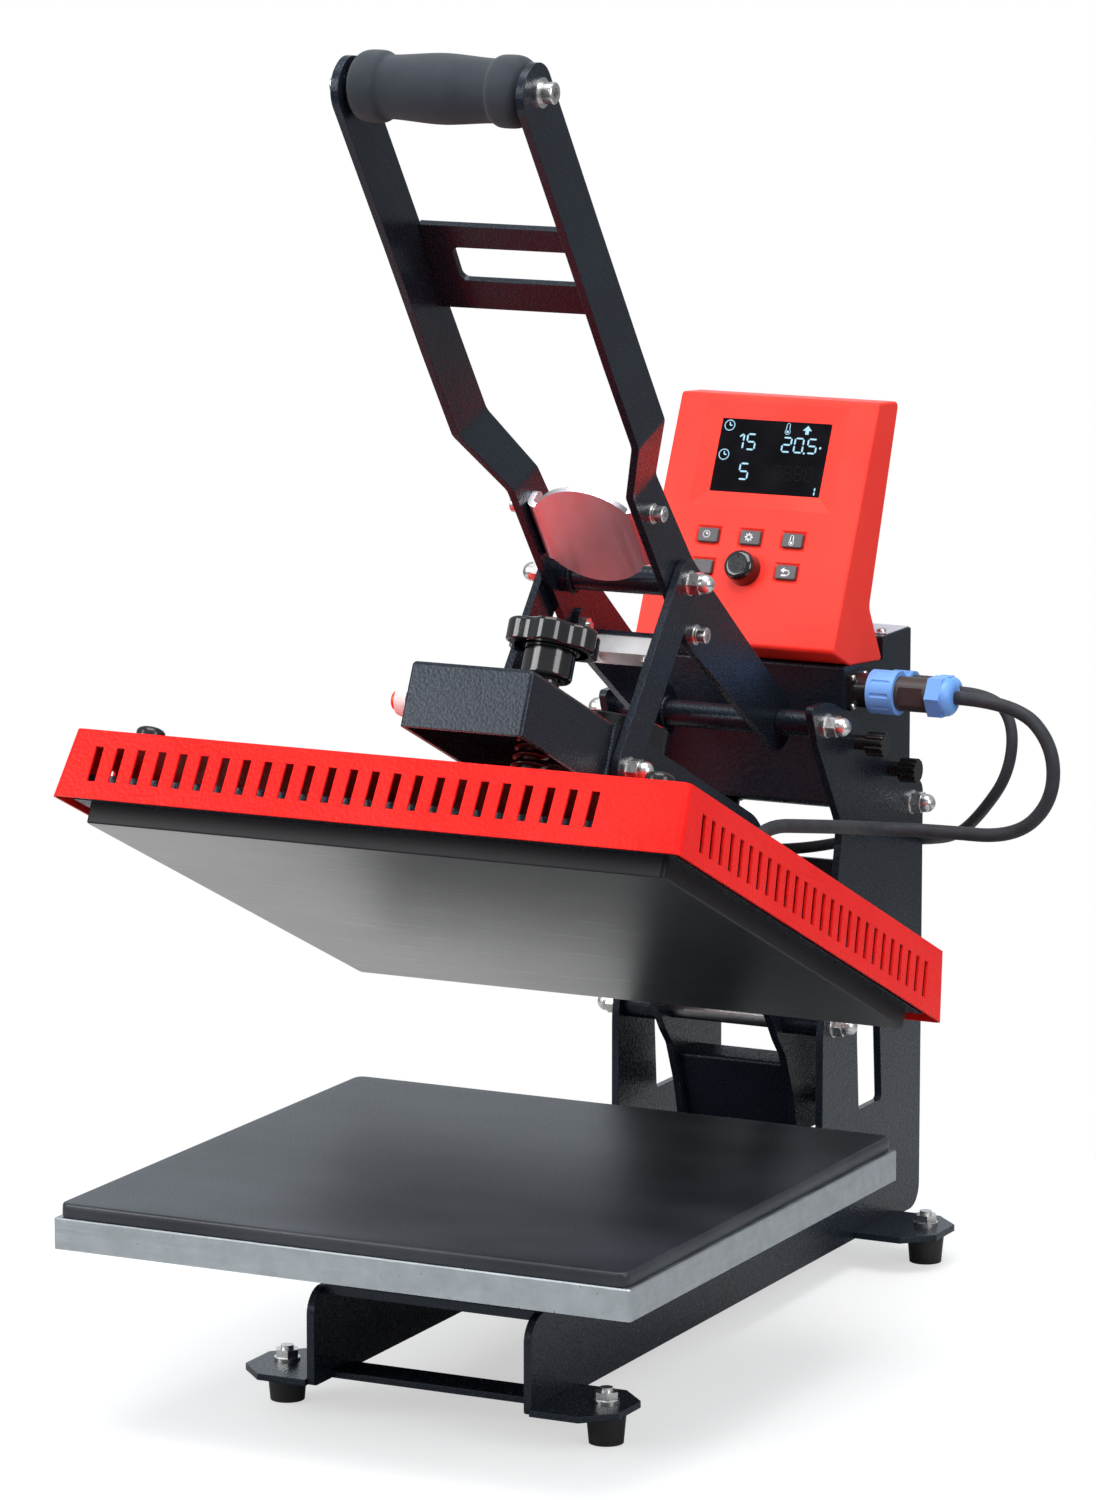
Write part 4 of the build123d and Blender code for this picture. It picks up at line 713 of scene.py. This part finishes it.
head_up = opened(0, 0, 1) - opened(0, 0, 0)
PLUG = [(8.8, 0.0), (8.8, 7.6), (8.4, 9.0), (7.2, 10.2), (5.2, 11.0), (2.4, 11.4)]
PLUG_X = 168.0
PLUG_Y = -166.0
COVER_TOP = 198.4
for k, x in enumerate((-PLUG_X, PLUG_X)):
    turned_knob(f"cover_plug_{k}", opened(x, PLUG_Y, COVER_TOP), head_up, PLUG,
                black_plastic, "heater")
print("cover plugs:", k + 1)

# %% Screws of the cable sockets
PAN = [(2.1, 0.0), (2.1, 0.8), (1.8, 1.3), (1.1, 1.6), (0.5, 1.65)]
RIGHT = Vector((1, 0, 0))
SOCKET_FACE = 0.0731
SOCKETS = (((391.0, 384.0), 9.3), ((424.0, 382.0), 7.2))
screws = 0
for (cy, cz), reach in SOCKETS:
    for dy, dz in ((-1, -1), (1, -1), (-1, 1), (1, 1)):
        foot = Vector((SOCKET_FACE, (cy + dy * reach) / 1000 - Y_MID, (cz + dz * reach) / 1000))
        turned_knob(f"socket_screw_{screws}", foot, RIGHT, PAN, stainless, "frame", 18)
        screws += 1
print("socket screws:", screws)

# %% Pale top plate of the electronics box, a painted highlight
HIGHLIGHT_PLATE = ((-69.0, 69.0), (446.0, 481.0), (412.0, 412.6))
HIGHLIGHT_PLATE_TOP = 0.4126
UP = Vector((0, 0, 1))
# Thin zinc plate on the box top; its pale colour is a painted highlight of the top light.
bm = bmesh.new()
bmesh.ops.create_cube(bm, size=1.0)
for vert in bm.verts:
    (x0, x1), (y0, y1), (z0, z1) = HIGHLIGHT_PLATE
    vert.co = ((x1 if vert.co.x > 0 else x0) / 1000,
               (y1 if vert.co.y > 0 else y0) / 1000 - Y_MID,
               (z1 if vert.co.z > 0 else z0) / 1000)
bmesh.ops.bevel(bm, geom=bm.edges[:], offset=0.0002, segments=1, affect="EDGES")
highlight_plate_mesh = bpy.data.meshes.new("box_top_highlight_plate")
bm.to_mesh(highlight_plate_mesh)
bm.free()
piece("box_top_highlight_plate", highlight_plate_mesh, zinc, "frame")
plate_pan = [(r * 1.6, h * 1.5) for r, h in PAN]
for side in (-1, 1):
    turned_knob(f"plate_screw_{1 + side}", Vector((side * 0.062, 0.452 - Y_MID, HIGHLIGHT_PLATE_TOP)),
                UP, plate_pan, stainless, "frame", 18)
print("a top plate with two screws")

# %% [markdown]
# The marks on the controller are thin plates, laid on its sloping face. A place on that
# face is given as millimetres across from the middle and down from the top edge, which is
# how such a panel would be measured with a ruler.

# %% Flat marks on the controller's face
FACE_TOP = (426.9, 566.2)
FACE_LOW = (355.0, 413.0)
face_length = math.dist(FACE_TOP, FACE_LOW)
up_y = (FACE_TOP[0] - FACE_LOW[0]) / face_length
up_z = (FACE_TOP[1] - FACE_LOW[1]) / face_length


def on_face(across, down, out):
    """Point on the face in metres, from millimetres across, down and out."""
    return Vector((across / 1000,
                   (FACE_TOP[0] - up_y * down - up_z * out) / 1000 - Y_MID,
                   (FACE_TOP[1] - up_z * down + up_y * out) / 1000))


def bar(a, b, width):
    """Outline of a short bar with pointed ends."""
    ax, ay = a
    bx, by = b
    length = math.dist(a, b)
    dx, dy = (bx - ax) / length * width / 2, (by - ay) / length * width / 2
    return [(ax - 0.3 * dx, ay - 0.3 * dy), (ax + dx - dy, ay + dy + dx),
            (bx - dx - dy, by - dy + dx), (bx + 0.3 * dx, by + 0.3 * dy),
            (bx - dx + dy, by - dy - dx), (ax + dx + dy, ay + dy - dx)]


def line_marks(points, width, closed=False):
    """Bars along a bent line, one for each straight."""
    ends = points[1:] + points[:1] if closed else points[1:]
    return [bar(a, b, width) for a, b in zip(points, ends)]


def arc_points(cx, cy, radius, start, stop, steps):
    """Points on an arc, its angles in degrees."""
    angles = [math.radians(start + (stop - start) * k / steps) for k in range(steps + 1)]
    return [(cx + radius * math.cos(a), cy + radius * math.sin(a)) for a in angles]


def flat_marks(name, outlines, low, high, material, body):
    """Thin plates on the face, between two heights above it."""
    bm = bmesh.new()
    for outline in outlines:
        under = [bm.verts.new(on_face(x, down, low)) for x, down in outline]
        over = [bm.verts.new(on_face(x, down, high)) for x, down in outline]
        bm.faces.new(over)
        for k, vert in enumerate(under):
            ahead = (k + 1) % len(under)
            bm.faces.new((vert, under[ahead], over[ahead], over[k]))
    bmesh.ops.recalc_face_normals(bm, faces=bm.faces[:])
    mesh = bpy.data.meshes.new(name)
    bm.to_mesh(mesh)
    bm.free()
    return piece(name, mesh, material, body)


# %% [markdown]
# The display shows plain figures made of seven bars each, in pale blue. Under them sits a
# row of unlit figures, which can just be seen as a slightly lighter black.

# %% Figures of the display
BARS_OF = {"0": "abcdef", "1": "bc", "2": "abged", "5": "afgcd", "8": "abcdefg"}
GLASS_LEFT = -39.0
GLASS_TOP = 15.5
GLASS_OUT = -3.0
BAR_GAP = 0.09


def figure(sign, left, top, width, height, thick):
    """Outlines of one figure, its corner given from the corner of the glass."""
    x0 = GLASS_LEFT + left
    y0 = GLASS_TOP + top
    x1 = x0 + width
    y1 = y0 + height / 2
    y2 = y0 + height
    ends = {"a": ((x0, y0), (x1, y0)), "b": ((x1, y0), (x1, y1)), "c": ((x1, y1), (x1, y2)),
            "d": ((x0, y2), (x1, y2)), "e": ((x0, y1), (x0, y2)), "f": ((x0, y0), (x0, y1)),
            "g": ((x0, y1), (x1, y1))}
    outlines = []
    for letter in BARS_OF[sign]:
        (ax, ay), (bx, by) = ends[letter]
        dx, dy = BAR_GAP * (bx - ax), BAR_GAP * (by - ay)
        outlines.append(bar((ax + dx, ay + dy), (bx - dx, by - dy), thick))
    return outlines


def clock_mark(cx, cy, radius, width):
    """Round dial with two hands."""
    ring = line_marks(arc_points(cx, cy, radius, 0, 345, 23), width, closed=True)
    hands = line_marks([(cx, cy - 0.62 * radius), (cx, cy), (cx + 0.55 * radius, cy)], width)
    return ring + hands


def thermometer_mark(cx, cy, height, width):
    """Outline of stem and bulb, with a filled drop in the bulb."""
    bulb = 0.24 * height
    stem = 0.145 * height
    low = cy + height / 2 - bulb
    outline = arc_points(cx, cy - height / 2 + stem, stem, 180, 360, 6)
    outline += [(cx + stem, low - 0.9 * bulb)]
    outline += arc_points(cx, low, bulb, -48, 228, 14)
    drop = arc_points(cx, low, 0.5 * bulb, 0, 330, 11)
    return line_marks(outline, width, closed=True) + [drop]


def on_glass(u, v):
    """Place on the face, from millimetres right and down from the corner of the glass."""
    return GLASS_LEFT + u, GLASS_TOP + v


# Each row is the sign, its left and top edge, width, height and thickness of a bar.
FIGURES = [
    ("1", 13.2, 10.2, 4.2, 10.2, 1.15),
    ("5", 20.0, 10.0, 5.8, 10.4, 1.15),
    ("2", 45.4, 10.9, 6.0, 9.6, 1.1),
    ("0", 54.0, 10.9, 6.0, 9.6, 1.1),
    ("5", 63.4, 10.9, 6.0, 9.6, 1.1),
    ("5", 18.6, 30.2, 6.0, 10.6, 1.15),
    ("1", 71.4, 43.4, 2.6, 5.6, 0.9),
]
ARROW = [(61.2, 2.0), (64.4, 5.4), (62.4, 5.4), (62.4, 8.0), (60.0, 8.0), (60.0, 5.4),
         (58.0, 5.4)]
lit = [outline for row in FIGURES for outline in figure(*row)]
lit.append(bar(on_glass(14.4, 12.2), on_glass(16.9, 10.2), 1.0))
lit.append(arc_points(*on_glass(61.6, 20.8), 0.7, 0, 330, 11))
lit.append(arc_points(*on_glass(72.4, 16.6), 0.8, 0, 330, 11))
lit += clock_mark(*on_glass(5.7, 4.8), 3.5, 0.85)
lit += clock_mark(*on_glass(5.4, 24.8), 3.5, 0.85)
lit += thermometer_mark(*on_glass(47.4, 4.9), 7.6, 0.5)
lit.append([on_glass(u, v) for u, v in ARROW])
flat_marks("lit_figures", lit, GLASS_OUT, GLASS_OUT + 0.12, lit_segment, "frame")
ghosts = [o for k in range(4) for o in figure("8", 43.0 + 7.4 * k, 30.4, 5.0, 9.0, 0.9)]
flat_marks("unlit_figures", ghosts, GLASS_OUT, GLASS_OUT + 0.05, unlit_segment, "frame")
print("display with", len(lit), "lit bars and", len(ghosts), "unlit ones")

# %% [markdown]
# White symbols are printed on the keys: a clock, a gear, a thermometer and a bent return
# arrow. They ride with their keys, so they sink when a key is pressed.

# %% Symbols on the keys
KEY_TOP = 1.6


def gear_marks(cx, cy, radius):
    """Ring with eight teeth."""
    tooth = 0.42 * radius
    ring = line_marks(arc_points(cx, cy, 0.55 * radius, 0, 330, 11), tooth, closed=True)
    teeth = []
    for k in range(8):
        a = math.pi * k / 4
        inner = (cx + 0.6 * radius * math.cos(a), cy + 0.6 * radius * math.sin(a))
        outer = (cx + radius * math.cos(a), cy + radius * math.sin(a))
        teeth.append(bar(inner, outer, tooth))
    return ring + teeth


def return_marks(cx, cy):
    """Arrow that bends back to the left."""
    body_line = [(cx - 2.4, cy - 1.1)]
    body_line += arc_points(cx + 1.2, cy + 0.6, 1.7, -90, 90, 9)
    body_line += [(cx - 2.6, cy + 2.3)]
    head = [(cx - 3.4, cy - 1.1), (cx - 0.9, cy - 3.0), (cx - 0.9, cy + 0.8)]
    return line_marks(body_line, 1.1) + [head]


symbols = {
    "timer_key": clock_mark(-32.8, 96.2, 2.3, 0.85),
    "settings_key": gear_marks(-2.6, 96.4, 2.9),
    "temperature_key": thermometer_mark(27.8, 96.5, 6.8, 0.5),
    "return_key": return_marks(27.4, 118.0),
}
for key, outlines in symbols.items():
    flat_marks(key + "_symbol", outlines, KEY_TOP, KEY_TOP + 0.06, white_print, key)
print("printed", len(symbols), "keys")

# %% [markdown]
# The press stands on a round white table in even, soft light, with a grey room behind it.
# What the camera sees of it fades to pure white a short way from the press, so that the
# lamps can stay at a plain level and the press keeps its colours and its soft shadow.

# %% White table
TABLE_R = 1.15
floor_mesh = bpy.data.meshes.new("floor")
bm = bmesh.new()
bmesh.ops.create_circle(bm, cap_ends=True, segments=64, radius=TABLE_R)
bm.to_mesh(floor_mesh)
bm.free()
floor = bpy.data.objects.new("floor", floor_mesh)
floor.location = (0.0, 0.0, -0.0006)
bpy.context.scene.collection.objects.link(floor)
print("table", 2 * TABLE_R, "m wide")

# %% [markdown]
# The table's finish is a matt grey that glows a little for the camera alone, so it looks
# white but throws little light back up at the press. With the distance from the middle it
# is mixed over to plain white, again for the camera alone.

# %% Finish of the table
LIFT = 0.56
FADE_FROM, FADE_TO = 0.34, 0.62
floor_white, tree, shader, place = new_finish("floor_white")
shader.inputs["Base Color"].default_value = (0.50, 0.50, 0.50, 1.0)
shader.inputs["Roughness"].default_value = 0.9
shader.inputs["Specular IOR Level"].default_value = 0.1
shader.inputs["Emission Color"].default_value = (1.0, 1.0, 1.0, 1.0)
path = tree.nodes.new("ShaderNodeLightPath")
lift = tree.nodes.new("ShaderNodeMath")
lift.operation = "MULTIPLY"
lift.inputs[1].default_value = LIFT
tree.links.new(path.outputs["Is Camera Ray"], lift.inputs[0])
tree.links.new(lift.outputs[0], shader.inputs["Emission Strength"])
plain_white = tree.nodes.new("ShaderNodeEmission")
reach = tree.nodes.new("ShaderNodeVectorMath")
reach.operation = "LENGTH"
tree.links.new(place, reach.inputs[0])
away = spread(tree, reach.outputs["Value"], 0.0, 1.0, FADE_FROM, FADE_TO)
away.node.interpolation_type = "SMOOTHSTEP"
seen_away = tree.nodes.new("ShaderNodeMath")
seen_away.operation = "MULTIPLY"
tree.links.new(away, seen_away.inputs[0])
tree.links.new(path.outputs["Is Camera Ray"], seen_away.inputs[1])
fade = tree.nodes.new("ShaderNodeMixShader")
tree.links.new(seen_away.outputs[0], fade.inputs["Fac"])
tree.links.new(shader.outputs["BSDF"], fade.inputs[1])
tree.links.new(plain_white.outputs["Emission"], fade.inputs[2])
tree.links.new(fade.outputs["Shader"], tree.nodes["Material Output"].inputs["Surface"])
floor_mesh.materials.append(floor_white)
print("made", floor_white.name)

# %% [markdown]
# The room around the table is white to the camera. To the press it is a grey that grows
# lighter from the floor up, and faintly blue, so dark paint and bare metal have something
# to reflect. A grey room keeps the lamps in charge of the light and of the shadows.

# %% Room
ROOM_LOW, ROOM_HIGH = 0.20, 0.50
world = bpy.data.worlds.new("white_studio")
bpy.context.scene.world = world
world.use_nodes = True
tree = world.node_tree
background = tree.nodes["Background"]
path = tree.nodes.new("ShaderNodeLightPath")
air = tree.nodes.new("ShaderNodeMix")
air.data_type = "RGBA"
air.inputs["A"].default_value = (0.90, 0.95, 1.0, 1.0)
air.inputs["B"].default_value = (1.0, 1.0, 1.0, 1.0)
tree.links.new(path.outputs["Is Camera Ray"], air.inputs["Factor"])
tree.links.new(air.outputs["Result"], background.inputs["Color"])
seen = tree.nodes.new("ShaderNodeMath")
seen.operation = "MAXIMUM"
tree.links.new(path.outputs["Is Camera Ray"], seen.inputs[0])
tree.links.new(path.outputs["Is Transmission Ray"], seen.inputs[1])
place = tree.nodes.new("ShaderNodeTexCoord")
height = tree.nodes.new("ShaderNodeSeparateXYZ")
tree.links.new(place.outputs["Generated"], height.inputs["Vector"])
room = spread(tree, height.outputs["Z"], ROOM_LOW, ROOM_HIGH, -0.25, 0.45)
brighter = tree.nodes.new("ShaderNodeMath")
brighter.operation = "MAXIMUM"
tree.links.new(room, brighter.inputs[0])
tree.links.new(seen.outputs[0], brighter.inputs[1])
tree.links.new(brighter.outputs[0], background.inputs["Strength"])
print("room from", ROOM_LOW, "to", ROOM_HIGH)

# %% [markdown]
# Four soft boxes light the press, as in a product studio: a large one overhead, one at the
# left front for the cover, a smaller one at the right for the side plate, and a weak blue
# one far behind, whose low reflection shows the skin of the pad. The camera can't see them.

# %% Lamps
def soft_lamp(name, place, target, width, height, watts, tint=(1.0, 1.0, 1.0)):
    """Soft box at a place, turned to a target."""
    data = bpy.data.lights.new(name, "AREA")
    data.shape = "RECTANGLE"
    data.size = width
    data.size_y = height
    data.energy = watts
    data.color = tint
    lamp = bpy.data.objects.new(name, data)
    lamp.location = place
    aim = Vector(target) - Vector(place)
    lamp.rotation_euler = aim.to_track_quat("-Z", "Y").to_euler()
    lamp.visible_camera = False
    bpy.context.scene.collection.objects.link(lamp)


soft_lamp("overhead_box", (0.2, -0.4, 2.6), (0, 0, 0.4), 2.0, 2.0, 62)
soft_lamp("left_front_box", (-2.0, -2.2, 1.6), (0, 0, 0.45), 1.6, 1.8, 54)
soft_lamp("right_box", (2.6, -1.0, 1.5), (0, 0, 0.4), 1.2, 1.6, 27)
soft_lamp("back_left_box", (-2.3, 3.4, 1.2), (0, 0, 0.3), 2.2, 1.6, 7, (0.80, 0.90, 1.0))
bpy.context.scene.view_settings.view_transform = "Standard"
print("four soft lamps")
